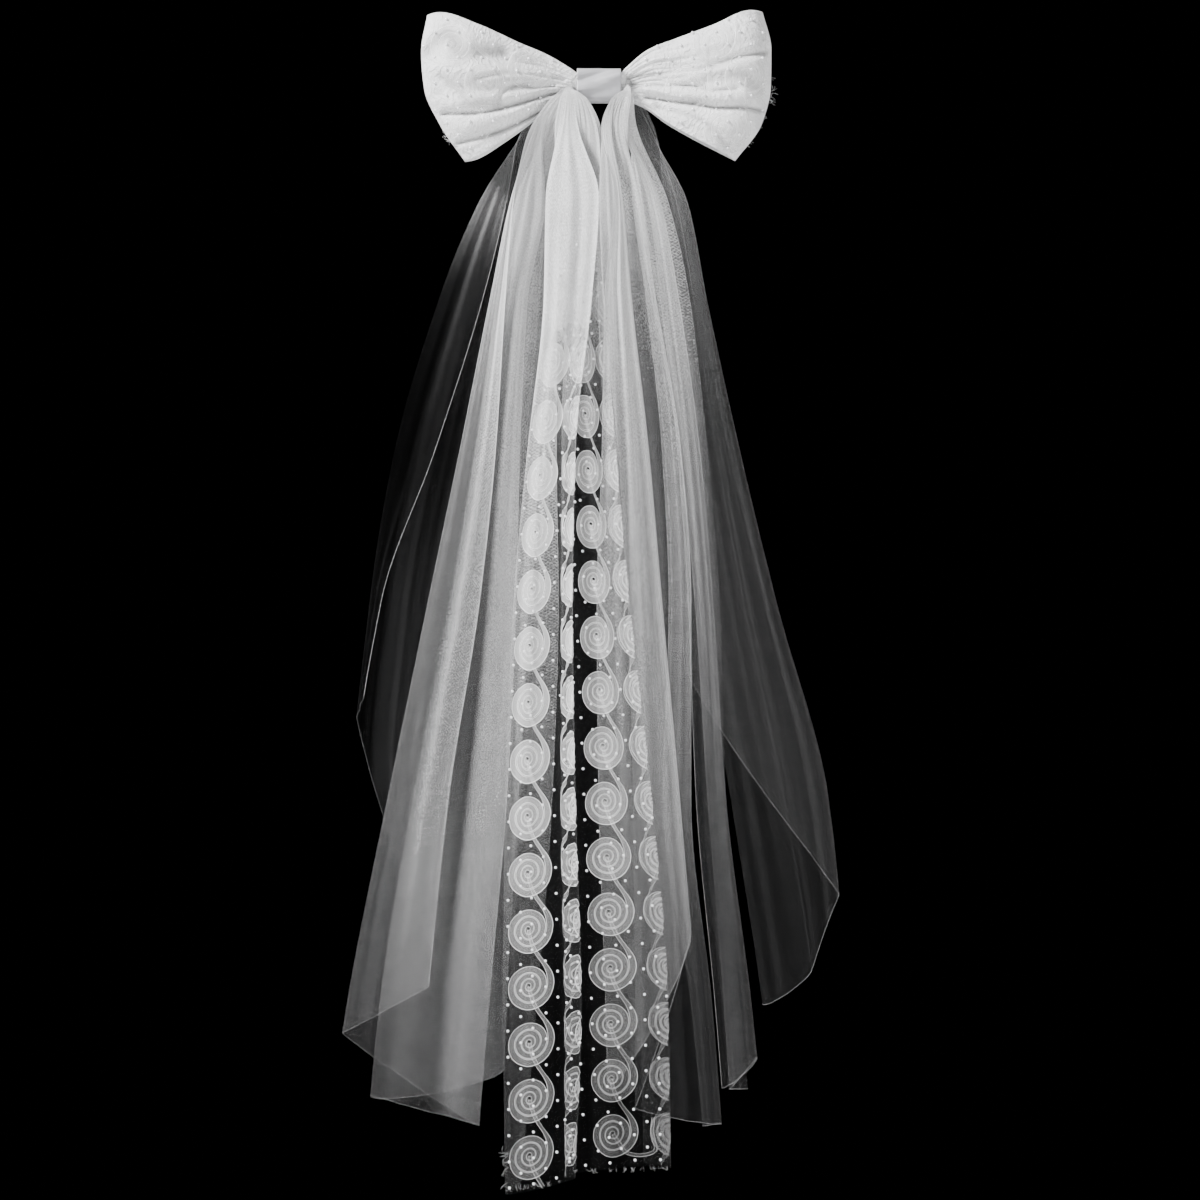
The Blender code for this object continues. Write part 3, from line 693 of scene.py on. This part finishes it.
def ribbon_material(name, middle, cord):
    """Sheer woven ribbon with a solid cord along each edge."""
    material, tree, shader = new_material(name)
    shader.inputs["Base Color"].default_value = (0.93, 0.93, 0.93, 1)
    shader.inputs["Roughness"].default_value = 0.5
    shader.inputs["Sheen Weight"].default_value = 0.2
    uv = tree.nodes.new("ShaderNodeUVMap")
    uv.uv_map = "cloth"
    parts = tree.nodes.new("ShaderNodeSeparateXYZ")
    tree.links.new(uv.outputs[0], parts.inputs[0])
    centred = math_node(tree, "ABSOLUTE", math_node(tree, "SUBTRACT", parts.outputs[0], 0.5))
    edge = remap(tree, centred, 0.40, 0.45, 0.0, 1.0)
    weave = noise(tree, cloth_coordinates(tree, 1.0), 700.0)
    sheer = remap(tree, weave, 0.35, 0.65, middle * 0.6, middle * 1.4)
    local = math_node(tree, "ADD", sheer, math_node(tree, "MULTIPLY", edge, cord - middle))
    layered_alpha(tree, shader, local, attribute_value(tree, "cover"))
    return material


def pearl_material():
    material, tree, shader = new_material("pearl")
    coordinates = tree.nodes.new("ShaderNodeTexCoord")
    tint = noise(tree, coordinates.outputs["Object"], 300.0)
    colour = tree.nodes.new("ShaderNodeMix")
    colour.data_type = "RGBA"
    tree.links.new(tint, colour.inputs[0])
    colour.inputs[6].default_value = (0.95, 0.95, 0.95, 1)
    colour.inputs[7].default_value = (0.88, 0.89, 0.92, 1)
    tree.links.new(colour.outputs[2], shader.inputs["Base Color"])
    shader.inputs["Roughness"].default_value = 0.22
    shader.inputs["Coat Weight"].default_value = 0.6
    return material


def tinted(tree, value, dark, light):
    """A colour between two, by a value from 0 to 1."""
    colour = tree.nodes.new("ShaderNodeMix")
    colour.data_type = "RGBA"
    tree.links.new(value, colour.inputs[0])
    colour.inputs[6].default_value = dark
    colour.inputs[7].default_value = light
    return colour.outputs[2]


def raised(tree, shader, height, strength, distance):
    bump = tree.nodes.new("ShaderNodeBump")
    bump.inputs["Strength"].default_value = strength
    bump.inputs["Distance"].default_value = distance
    tree.links.new(height, bump.inputs["Height"])
    tree.links.new(bump.outputs["Normal"], shader.inputs["Normal"])


def twill(tree, vector):
    wave = tree.nodes.new("ShaderNodeTexWave")
    wave.bands_direction = "DIAGONAL"
    wave.inputs["Scale"].default_value = 900.0
    tree.links.new(vector, wave.inputs["Vector"])
    return wave.outputs["Fac"]


def knot_satin_material():
    """Plain white satin, glossy, with a fine twill."""
    material, tree, shader = new_material("knot_satin")
    coordinates = tree.nodes.new("ShaderNodeTexCoord").outputs["Object"]
    shader.inputs["Roughness"].default_value = 0.34
    shader.inputs["Sheen Weight"].default_value = 0.2
    shader.inputs["Specular IOR Level"].default_value = 0.8
    blotch = remap(tree, noise(tree, coordinates, 70.0), 0.35, 0.65, 0.0, 1.0)
    tree.links.new(tinted(tree, blotch, (0.40, 0.40, 0.42, 1), (0.50, 0.50, 0.52, 1)), shader.inputs["Base Color"])
    raised(tree, shader, twill(tree, coordinates), 0.15, 0.3 * MM)
    return material


def bow_satin_material():
    """White satin under lace: corded swirls and crumpled net stand proud of it, and painted shade darkens its creases.
    """
    material, tree, shader = new_material("bow_satin_lace")
    coordinates = tree.nodes.new("ShaderNodeTexCoord").outputs["Object"]
    shader.inputs["Roughness"].default_value = 0.6
    shader.inputs["Sheen Weight"].default_value = 0.25
    swirl = tree.nodes.new("ShaderNodeTexWave")
    swirl.wave_type = "RINGS"
    swirl.rings_direction = "SPHERICAL"
    swirl.inputs["Scale"].default_value = 75.0
    swirl.inputs["Distortion"].default_value = 24.0
    swirl.inputs["Detail"].default_value = 2.0
    swirl.inputs["Detail Scale"].default_value = 0.8
    tree.links.new(coordinates, swirl.inputs["Vector"])
    cords = remap(tree, swirl.outputs["Fac"], 0.55, 0.95, 0.0, 1.0)
    crumple = remap(tree, noise(tree, coordinates, 260.0), 0.3, 0.7, 0.0, 1.0)
    grain = remap(tree, noise(tree, coordinates, 1000.0), 0.3, 0.7, 0.0, 1.0)
    blotch = remap(tree, noise(tree, coordinates, 60.0), 0.35, 0.65, 0.0, 1.0)
    patchy = math_node(tree, "ADD", math_node(tree, "MULTIPLY", blotch, 0.55), math_node(tree, "MULTIPLY", grain, 0.45))
    plain = tinted(tree, patchy, (0.66, 0.66, 0.67, 1), (0.97, 0.97, 0.97, 1))
    # Painted shade: black is mixed into the base colour along the creases, by the vertex attribute.
    creased = tree.nodes.new("ShaderNodeMix")
    creased.data_type = "RGBA"
    creased.inputs[6].default_value = (0.0, 0.0, 0.0, 1)
    tree.links.new(attribute_value(tree, "cover"), creased.inputs[0])
    tree.links.new(plain, creased.inputs[7])
    tree.links.new(creased.outputs[2], shader.inputs["Base Color"])
    height = math_node(tree, "ADD", math_node(tree, "MULTIPLY", cords, 0.45), math_node(tree, "MULTIPLY", crumple, 0.9))
    height = math_node(tree, "ADD", height, math_node(tree, "MULTIPLY", grain, 0.35))
    raised(tree, shader, height, 1.0, 0.55 * MM)
    return material


def thread_material():
    material, tree, shader = new_material("cut_thread")
    coordinates = tree.nodes.new("ShaderNodeTexCoord")
    fuzz = noise(tree, coordinates.outputs["Object"], 1200.0)
    shader.inputs["Base Color"].default_value = (0.93, 0.93, 0.94, 1)
    shader.inputs["Roughness"].default_value = 0.7
    layered_alpha(tree, shader, remap(tree, fuzz, 0.3, 0.7, 0.3, 0.7), attribute_value(tree, "cover"))
    return material


def steel_material():
    material, tree, shader = new_material("brushed_steel")
    coordinates = tree.nodes.new("ShaderNodeTexCoord")
    mapping = tree.nodes.new("ShaderNodeMapping")
    mapping.inputs["Scale"].default_value = (40, 900, 1800)
    tree.links.new(coordinates.outputs["Object"], mapping.inputs[0])
    grain = noise(tree, mapping.outputs[0], 1.0)
    shader.inputs["Base Color"].default_value = (0.55, 0.56, 0.58, 1)
    shader.inputs["Metallic"].default_value = 1.0
    tree.links.new(remap(tree, grain, 0.3, 0.7, 0.22, 0.42), shader.inputs["Roughness"])
    return material


NETS = {
    "lace_net": net_material("lace_net", 0.0025, 0.35),
    "tulle": net_material("tulle", 0.0148, 0.35),
    "sheer": net_material("sheer_tulle", 0.0033, 0.16),
}
PANEL_RIBBON = ribbon_material("panel_ribbon", 0.030, 0.26)
BOW_RIBBON = ribbon_material("bow_ribbon", 0.35, 0.85)
PEARL = pearl_material()
THREAD = thread_material()
BOW_SATIN = bow_satin_material()
KNOT_SATIN = knot_satin_material()
STEEL = steel_material()


# Cloth falls


def lengths_across(points):
    steps = np.linalg.norm(np.diff(points, axis=1), axis=-1)
    return np.concatenate([np.zeros((len(points), 1)), np.cumsum(steps, axis=1)], axis=1)


def lengths_down(points):
    steps = np.linalg.norm(np.diff(points, axis=0), axis=-1)
    return np.concatenate([np.zeros((1, points.shape[1])), np.cumsum(steps, axis=0)], axis=0)


def fall_cover(fall, points):
    """How many layers' worth of cloth lie at each point: gathered near the knot, and more where seen edge-on."""
    drop = np.clip((-KNOT_HEIGHT / 2 - points[..., 2]) / VEIL_LENGTH, STATIONS[0], 1)
    full = np.exp(track(STATIONS, [math.log(value) for value in fall.fullness], drop))
    place = np.linspace(0, len(fall.folds) - 1, points.shape[1])
    stops, high, low = zip(*fall.bands)
    upper, lower = (np.interp(place, stops, row)[None, :] for row in (high, low))
    weight = mix(upper, lower, smooth_step((drop - LOWER_FROM) / (LOWER_FULL - LOWER_FROM)))
    weight = mix(1.0, weight, smooth_step((drop - BANDS_FROM) / (BANDS_FULL - BANDS_FROM)))
    tilt = np.abs(surface_normals(points)[..., 1])
    return full * weight / np.maximum(tilt, 0.2)


def thread_mesh(points, radius, cover=1.0, sides=4):
    """A thin thread along a line of points: a grid rolled into a tube."""
    points = np.asarray(points)
    ahead = np.gradient(points, axis=0)
    ahead /= np.maximum(np.linalg.norm(ahead, axis=1, keepdims=True), 1e-12)
    guide = np.where(np.abs(ahead[:, 1:2]) < 0.9, np.array([[0.0, 1.0, 0.0]]), np.array([[1.0, 0.0, 0.0]]))
    side = np.cross(ahead, guide)
    side /= np.linalg.norm(side, axis=1, keepdims=True)
    up = np.cross(side, ahead)
    angles = 2 * np.pi * np.arange(sides + 1) / sides
    tube = (
        points[:, None]
        + radius * np.cos(angles)[None, :, None] * side[:, None]
        + radius * np.sin(angles)[None, :, None] * up[:, None]
    )
    return closed_tube(grid_mesh(tube, cover=np.full(tube.shape[:2], cover)), sides)


def closed_tube(mesh, sides):
    """Welds a rolled grid along its seam, caps its ends and turns its faces outward."""
    shape = bmesh.new()
    shape.from_mesh(mesh)
    bmesh.ops.remove_doubles(shape, verts=shape.verts, dist=1e-7)
    bmesh.ops.holes_fill(shape, edges=[edge for edge in shape.edges if edge.is_boundary], sides=sides)
    bmesh.ops.recalc_face_normals(shape, faces=shape.faces)
    shape.to_mesh(mesh)
    shape.free()
    return mesh


def build_fall(fall):
    points = fall_surface(fall)
    u = lengths_across(points)[-1]
    v = lengths_down(points)[:, points.shape[1] // 2]
    uvs = np.stack(np.broadcast_arrays(u[None, :], -v[:, None]), axis=-1)
    mesh = grid_mesh(points, uvs, fall_cover(fall, points))
    cloth = finish_piece(f"{fall.name}_cloth", mesh, NETS[fall.finish], fall.name)
    trims = build_lace(points) if fall.name == "lace_panel" else []
    lines = [line for line in zip((points[2:, 0], points[2:, -1], points[-1]), fall.edges) if line[1]]
    if lines:
        thread = joined([thread_mesh(line, 0.11 * MM, shown) for line, shown in lines])
        trims.append(finish_piece(f"{fall.name}_edges", thread, THREAD, None))


# The lace on the panel


class PanelMap:
    """Places on the lace panel. across is 0 at its left fold and 1 at its right one; up is above the hem."""

    def __init__(self, points):
        first = 2 + SHOULDER_ROWS
        normals = surface_normals(points)[first:]
        points = points[first:]
        lengths = lengths_across(points)
        left, right = lengths[:, COLUMNS_PER_FOLD], lengths[:, 4 * COLUMNS_PER_FOLD]
        self.shares = np.linspace(-0.30, 1.25, 500)
        wanted = left[:, None] + self.shares[None, :] * (right - left)[:, None]
        self.inside = (wanted > lengths[:, :1]) & (wanted < lengths[:, -1:])
        table = np.concatenate([points, normals], axis=-1)
        self.table = np.stack(
            [[np.interp(wanted[r], lengths[r], table[r, :, k]) for k in range(6)] for r in range(len(points))]
        ).transpose(0, 2, 1)
        middle = points.shape[1] // 2
        self.heights = points[:, middle, 2] - points[-1, middle, 2]
        self.width = float(right[-1] - left[-1])
        self.squeeze = (right - left) / self.width

    def look_up(self, across, up):
        rows = np.interp(up, self.heights[::-1], np.arange(len(self.heights))[::-1])
        columns = np.interp(across, self.shares, np.arange(len(self.shares)))
        r = np.minimum(rows.astype(int), len(self.heights) - 2)
        c = np.minimum(columns.astype(int), len(self.shares) - 2)
        f, g = (rows - r)[..., None], (columns - c)[..., None]
        upper = mix(self.table[r, c], self.table[r, c + 1], g)
        lower = mix(self.table[r + 1, c], self.table[r + 1, c + 1], g)
        found = mix(upper, lower, f)
        kept = (up > 0) & (up < self.heights[0]) & self.inside[r, c]
        return found[..., :3], found[..., 3:], kept, self.squeeze[r]


def rosette_line():
    """A rosette's ribbon as offsets from its centre, with its width: wound out, then up to the next centre."""
    inner = 0.9 * MM
    outer = ROSETTE_RADIUS - RIBBON_WIDTH / 2
    steps = int(26 * ROSETTE_TURNS)
    t = np.arange(steps + 1) / steps
    angle = 2 * math.pi * ROSETTE_TURNS * (t - 1)
    growth = RIBBON_WIDTH / INNER_WIDTH - 1
    radius = mix(inner, outer, (t + growth * t * t / 2) / (1 + growth / 2))
    line = np.stack([radius * np.cos(angle), radius * np.sin(angle)], axis=1)
    width = mix(INNER_WIDTH, RIBBON_WIDTH, t)
    t = (np.arange(1, 25) / 24)[:, None]
    bends = np.array(((outer, 0), (outer, 0.36 * ROSETTE_PITCH), (0.2 * outer, 0.45 * ROSETTE_PITCH), (0, ROSETTE_PITCH)))
    tail = sum(w * bend[None, :] for w, bend in zip(bezier_weights(t), bends))
    narrowed = mix(RIBBON_WIDTH, 0.45 * RIBBON_WIDTH, smooth_step(t[:, 0] / 0.5))
    return np.concatenate([line, tail]), np.concatenate([width, narrowed])


def smooth_line(bends, steps):
    """A smooth line through a few places."""
    stations = list(range(len(bends)))
    at = np.linspace(0, len(bends) - 1, steps)
    return np.stack([track(stations, [bend[i] for bend in bends], at) for i in range(len(bends[0]))], axis=1)


RIBBON_SHARES = np.array((-0.5, -0.4, 0.0, 0.4, 0.5))
RIBBON_RISES = np.array((0.0, 0.12, 0.0, 0.12, 0.0)) * MM


def ribbon_meshes(surface, line, width, lift, relief=1.0):
    """A flat ribbon laid on a surface, broken where the surface ends. Its edges stand a little proud."""
    ahead = np.gradient(line, axis=0)
    ahead /= np.linalg.norm(ahead, axis=1, keepdims=True)
    side = np.stack([-ahead[:, 1], ahead[:, 0]], axis=1)
    run = np.concatenate([[0], np.cumsum(np.linalg.norm(np.diff(line, axis=0), axis=1))])
    spots = line[:, None] + side[:, None] * (width[:, None] * RIBBON_SHARES[None, :])[..., None]
    stack = 0.3 * MM * run[:, None] / run[-1]
    points, kept, cover = surface(spots, lift + relief * RIBBON_RISES[None, :] + stack)
    uvs = np.stack(np.broadcast_arrays(RIBBON_SHARES[None, :] + 0.5, run[:, None]), axis=-1)
    whole = kept.all(axis=1)
    made = []
    start = None
    for k in range(len(line) + 1):
        if k < len(line) and whole[k]:
            start = k if start is None else start
        elif start is not None:
            if k - start >= 3:
                made.append(grid_mesh(points[start:k], uvs[start:k], cover[start:k]))
            start = None
    return made


RIBBON_FULLNESS = (8, 8, 13, 16, 14, 9, 3.2, 1.6)

# The ribbon that joins the lowest rosette of the third column to its neighbour, offsets from its centre
JOINING_TAIL = (
    (0.0, 0.0), (4.0, -6.3), (8.0, -11.8), (14.9, -13.6), (21.0, -12.8), (24.6, -9.7), (22.6, 0.0), (23.5, 8.0)
)


def build_lace(points):
    panel = PanelMap(points)
    total = float(panel.heights[0])
    line, width = rosette_line()
    ribbons = []
    for column in ROSETTE_COLUMNS:
        for row in range(-1, int((total - FIRST_ROSETTE) / ROSETTE_PITCH) + 1):
            centre_up = FIRST_ROSETTE + row * ROSETTE_PITCH

            def surface(offsets, lift):
                up = centre_up + offsets[..., 1]
                across = column.across + column.lean * centre_up + offsets[..., 0] / panel.width
                spots, normals, kept, squeeze = panel.look_up(across, up)
                drop = np.clip((-KNOT_HEIGHT / 2 - spots[..., 2]) / VEIL_LENGTH, STATIONS[0], 1)
                full = column.weight * np.exp(track(STATIONS, [math.log(value) for value in RIBBON_FULLNESS], drop))
                return spots + lift[..., None] * normals, kept, full

            if row >= 0 or column != THIRD_COLUMN:
                ribbons += ribbon_meshes(surface, line, width, 0.35 * MM)
            if row == 0 and column == THIRD_COLUMN:
                joining = smooth_line([(x * MM, z * MM) for x, z in JOINING_TAIL], 40)
                ribbons += ribbon_meshes(surface, joining, np.full(40, 0.45 * RIBBON_WIDTH), 0.35 * MM)
    rosettes = finish_piece("lace_panel_rosettes", joined(ribbons), PANEL_RIBBON, None)
    places = []
    for i in range(int(-0.3 * panel.width / PEARL_ACROSS), int(1.25 * panel.width / PEARL_ACROSS) + 1):
        for j in range(int(total / PEARL_DOWN) + 1):
            up = (j + 0.25 + 0.5 * (i % 2)) * PEARL_DOWN
            across = (i + 0.45) * PEARL_ACROSS / panel.width
            spots, normals, kept, squeeze = panel.look_up(np.array([across]), np.array([up]))
            shown = squeeze[0] > 0.62 and abs(normals[0][1]) > 0.6
            pleated = 0.34 < across < 0.50
            if kept[0] and -0.02 < across < 1.02 and (shown and not pleated or (i + 3 * j) % 7 == 0):
                places.append(spots[0] + normals[0] * 0.8 * MM)
    pearls = finish_piece("lace_panel_pearls", pearls_at(places, PEARL_RADIUS), PEARL, None)
    depth = float(points[-1, 2 * COLUMNS_PER_FOLD, 1])
    threads = frayed(HEM_FRAYS, depth, 9, 0.5)
    return [rosettes, pearls, finish_piece("lace_panel_frayed_threads", threads, THREAD, None)]


# Bow


def build_loop(loop):
    points, painted_crease_shade = loop_band(loop)
    rows, columns = points.shape[:2]
    u = lengths_across(points)[rows // 2]
    v = lengths_down(points)[:, columns // 3]
    uvs = np.stack(np.broadcast_arrays(u[None, :], -v[:, None]), axis=-1)
    # The painted crease shade goes into the vertex attribute that darkens the bow's colour.
    piece = finish_piece(f"{loop.name}_satin", grid_mesh(points, uvs, painted_crease_shade), BOW_SATIN, loop.name)
    solid = piece.modifiers.new("wall", "SOLIDIFY")
    solid.thickness = 1.0 * MM
    solid.offset = 0
    return loop_surface(loop, behind=False)[0]


def build_bow_lace(fronts):
    """Rosettes and pearls laid over the front of both loops."""
    ribbons = []
    places = []
    line, width = rosette_line()
    for name, front in fronts:
        columns = front.shape[1]
        faces = [
            (r * columns + c, r * columns + c + 1, (r + 1) * columns + c + 1, (r + 1) * columns + c)
            for r in range(front.shape[0] - 1)
            for c in range(columns - 1)
        ]
        tree = BVHTree.FromPolygons([Vector(spot) for spot in front.reshape(-1, 3)], faces)

        def on_front(x, z):
            hit = tree.ray_cast(Vector((x, -1, z)), Vector((0, 1, 0)))[0]
            return None if hit is None else hit.y

        for centre_x, centre_z, turn in ROSETTES_ON_BOW[name]:
            cos, sin = math.cos(turn), math.sin(turn)

            def surface(offsets, lift):
                x = centre_x + offsets[..., 0] * cos - offsets[..., 1] * sin
                z = centre_z + offsets[..., 0] * sin + offsets[..., 1] * cos
                y = [on_front(a, b) for a, b in zip(x.ravel(), z.ravel())]
                kept = np.array([value is not None for value in y]).reshape(x.shape)
                y = np.array([0.0 if value is None else value for value in y]).reshape(x.shape)
                return np.stack([x, y - 0.6 * MM - lift, z], axis=-1), kept, np.ones(x.shape)

            ribbons += ribbon_meshes(surface, line, width, 0.0, 1.8)
        for i in range(-16, 17):
            for j in range(-8, 9):
                x = i * PEARL_ACROSS * 0.9
                z = (j + 0.5 * (i % 2)) * PEARL_DOWN
                y = on_front(x, z)
                if y is not None and abs(x) > 20 * MM:
                    places.append((x, y - 1.1 * MM, z))
    finish_piece("bow_rosettes", joined(ribbons), BOW_RIBBON, None)
    finish_piece("bow_pearls", pearls_at(places, PEARL_RADIUS), PEARL, None)
    finish_piece("bow_frayed_threads", frayed(BOW_FRAYS, KNOT_Y, 5, 1.2), THREAD, None)


# Where cut lace frays: places from the knot's centre in mm, the way the threads point, and how many
Fray = namedtuple("Fray", "start end way count length")

BOW_FRAYS = (
    Fray((97.5, 6), (98, -10), (1.0, -0.1), 14, 4.5),
    Fray((94.5, -16), (84, -34), (0.8, -0.5), 18, 3.2),
    Fray((97, 24), (97.5, 5), (1.0, 0.1), 14, 2.0),
    Fray((-88, -27), (-84, -32), (-0.7, -0.7), 14, 3.0),
    Fray((-99.5, 26), (-98.5, 0), (-1.0, 0.0), 18, 1.5),
)
HEM_FRAYS = (
    Fray((-53, -606), (-53.5, -627), (-1.0, -0.1), 12, 5.0),
    Fray((-52, -627), (-22, -623), (0.1, -1.0), 20, 2.2),
    Fray((-14, -617), (40, -615), (0.1, -1.0), 30, 2.2),
)


def frayed(frays, depth, seed, cover):
    """Short loose threads that curl away from a cut edge, as one mesh."""
    dice = random.Random(seed)
    made = []
    for fray in frays:
        for _ in range(fray.count):
            t = dice.random()
            x = mix(fray.start[0], fray.end[0], t) * MM
            z = mix(fray.start[1], fray.end[1], t) * MM
            y = depth + dice.uniform(-1.5, 1.5) * MM
            way = math.atan2(fray.way[1], fray.way[0]) + dice.gauss(0, 0.5)
            curl = dice.gauss(0, 1.1)
            reach = fray.length * MM * dice.uniform(0.4, 1.0)
            run = np.linspace(-0.7, 1, 6)
            angle = way + curl * np.maximum(run, 0)
            line = np.stack([x + reach * run * np.cos(angle), y + 0.3 * reach * run**2 + 0 * run,
                             z + reach * run * np.sin(angle)], axis=1)
            made.append(thread_mesh(line, 0.06 * MM, cover, sides=3))
    return joined(made)


# Centres of the rosettes on the bow, from the knot's centre, and how far each is turned
ROSETTES_ON_BOW = {
    "bow_loop_left": (
        (-64.5 * MM, 0.0, 0.4),
        (-84 * MM, 22 * MM, 0.4),
        (-40 * MM, 10 * MM, 0.4),
        (-76 * MM, -24 * MM, 0.4),
    ),
    "bow_loop_right": (
        (72 * MM, -26 * MM, -0.4),
        (50 * MM, -2 * MM, -0.4),
        (84 * MM, 4 * MM, -0.4),
        (66 * MM, 24 * MM, -0.4),
    ),
}


def build_knot():
    half_y = (KNOT_DEPTH - KNOT_WALL) / 2
    half_z = (KNOT_HEIGHT - KNOT_WALL) / 2
    power = 2 / KNOT_SQUARENESS
    sides, rows = 96, 40
    angles = 2 * np.pi * np.arange(sides + 1) / sides
    x = np.linspace(-KNOT_WIDTH / 2, KNOT_WIDTH / 2, rows + 1)
    cos, sin = np.cos(angles), np.sin(angles)
    y = np.broadcast_to(np.sign(cos) * np.abs(cos) ** power * half_y, (rows + 1, sides + 1)).copy()
    z = np.broadcast_to(np.sign(sin) * np.abs(sin) ** power * half_z, (rows + 1, sides + 1)).copy()
    across = np.broadcast_to(x[:, None], y.shape)
    start = (RIDGE_START[0] * KNOT_WIDTH / 2, RIDGE_START[1] * KNOT_HEIGHT / 2)
    end = (RIDGE_END[0] * KNOT_WIDTH / 2, RIDGE_END[1] * KNOT_HEIGHT / 2)
    run = (end[0] - start[0], end[1] - start[1])
    away = ((z - start[1]) * run[0] - (across - start[0]) * run[1]) / math.hypot(*run)
    ridge = RIDGE_HEIGHT * np.exp(-((away / RIDGE_HALF_WIDTH) ** 2))
    trough = 2.2 * MM * np.exp(-(((away - 4.5 * MM) / (2.4 * MM)) ** 2))
    wrinkle = 0.12 * MM * np.sin(away / (0.8 * MM)) * np.exp(-((away / (7 * MM)) ** 2))
    front = np.clip(-y / half_y, 0, 1)
    y -= (ridge + wrinkle - trough) * front
    points = np.stack([across, KNOT_Y + y, z], axis=-1)
    mesh = grid_mesh(points)
    shape = bmesh.new()
    shape.from_mesh(mesh)
    bmesh.ops.remove_doubles(shape, verts=shape.verts, dist=1e-6)
    bmesh.ops.recalc_face_normals(shape, faces=shape.faces)
    shape.to_mesh(mesh)
    shape.free()
    piece = finish_piece("knot_wrap", mesh, KNOT_SATIN, "knot_band")
    solid = piece.modifiers.new("wall", "SOLIDIFY")
    solid.thickness = KNOT_WALL * 0.8
    solid.offset = 0


# Stage, lights and camera

PIXEL = 0.5714 * MM
FRAME_WIDTH = 1200 * PIXEL
FRAME_CENTRE = (0.6 * MM, -293.7 * MM)
CAMERA_DISTANCE = 2.5
SENSOR = 36.0


def soft_light(name, place, target, size, power):
    light = bpy.data.lights.new(name, "AREA")
    light.shape = "DISK"
    light.size = size
    light.energy = power
    lamp = bpy.data.objects.new(name, light)
    lamp.location = place
    lamp.rotation_euler = (Vector(target) - Vector(place)).to_track_quat("-Z", "Y").to_euler()
    bpy.context.scene.collection.objects.link(lamp)


def build_stage():
    shape = bmesh.new()
    bmesh.ops.create_circle(shape, cap_ends=True, segments=96, radius=2.1)
    bmesh.ops.translate(shape, verts=shape.verts, vec=(0, 0, -1.2))
    mesh = bpy.data.meshes.new("floor")
    shape.to_mesh(mesh)
    shape.free()
    material, tree, shader = new_material("pale_floor")
    shader.inputs["Base Color"].default_value = (0.72, 0.72, 0.72, 1)
    shader.inputs["Roughness"].default_value = 0.8
    mesh.materials.append(material)
    floor = bpy.data.objects.new("floor", mesh)
    bpy.context.scene.collection.objects.link(floor)
    world = bpy.data.worlds.new("dark_studio")
    world.use_nodes = True
    world.node_tree.nodes["Background"].inputs[0].default_value = (0, 0, 0, 1)
    bpy.context.scene.world = world
    target = (0, 0, FRAME_CENTRE[1])
    soft_light("key", (-1.5, -0.9, 1.3), target, 0.7, 165)
    soft_light("fill", (1.6, -1.8, 0.0), target, 1.4, 38)
    soft_light("low", (-0.4, -1.8, -1.0), target, 1.0, 20)
    soft_light("rim_left", (-1.3, 1.0, 0.4), target, 1.2, 20)
    soft_light("rim_right", (1.3, 1.0, 0.4), target, 1.2, 20)


def build_camera():
    camera = bpy.data.cameras.new("camera")
    camera.sensor_width = SENSOR
    camera.lens = SENSOR * (CAMERA_DISTANCE + KNOT_Y) / FRAME_WIDTH
    eye = bpy.data.objects.new("camera", camera)
    eye.location = (FRAME_CENTRE[0], -CAMERA_DISTANCE, FRAME_CENTRE[1])
    eye.rotation_euler = (math.pi / 2, 0, 0)
    bpy.context.scene.collection.objects.link(eye)
    bpy.context.scene.camera = eye


build_stage()
build_camera()
build_knot()
for fall in FALLS:
    build_fall(fall)
build_bow_lace([(loop.name, build_loop(loop)) for loop in LOOPS])
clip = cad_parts["hair_clip"]
clip.data.materials.clear()
clip.data.materials.append(STEEL)
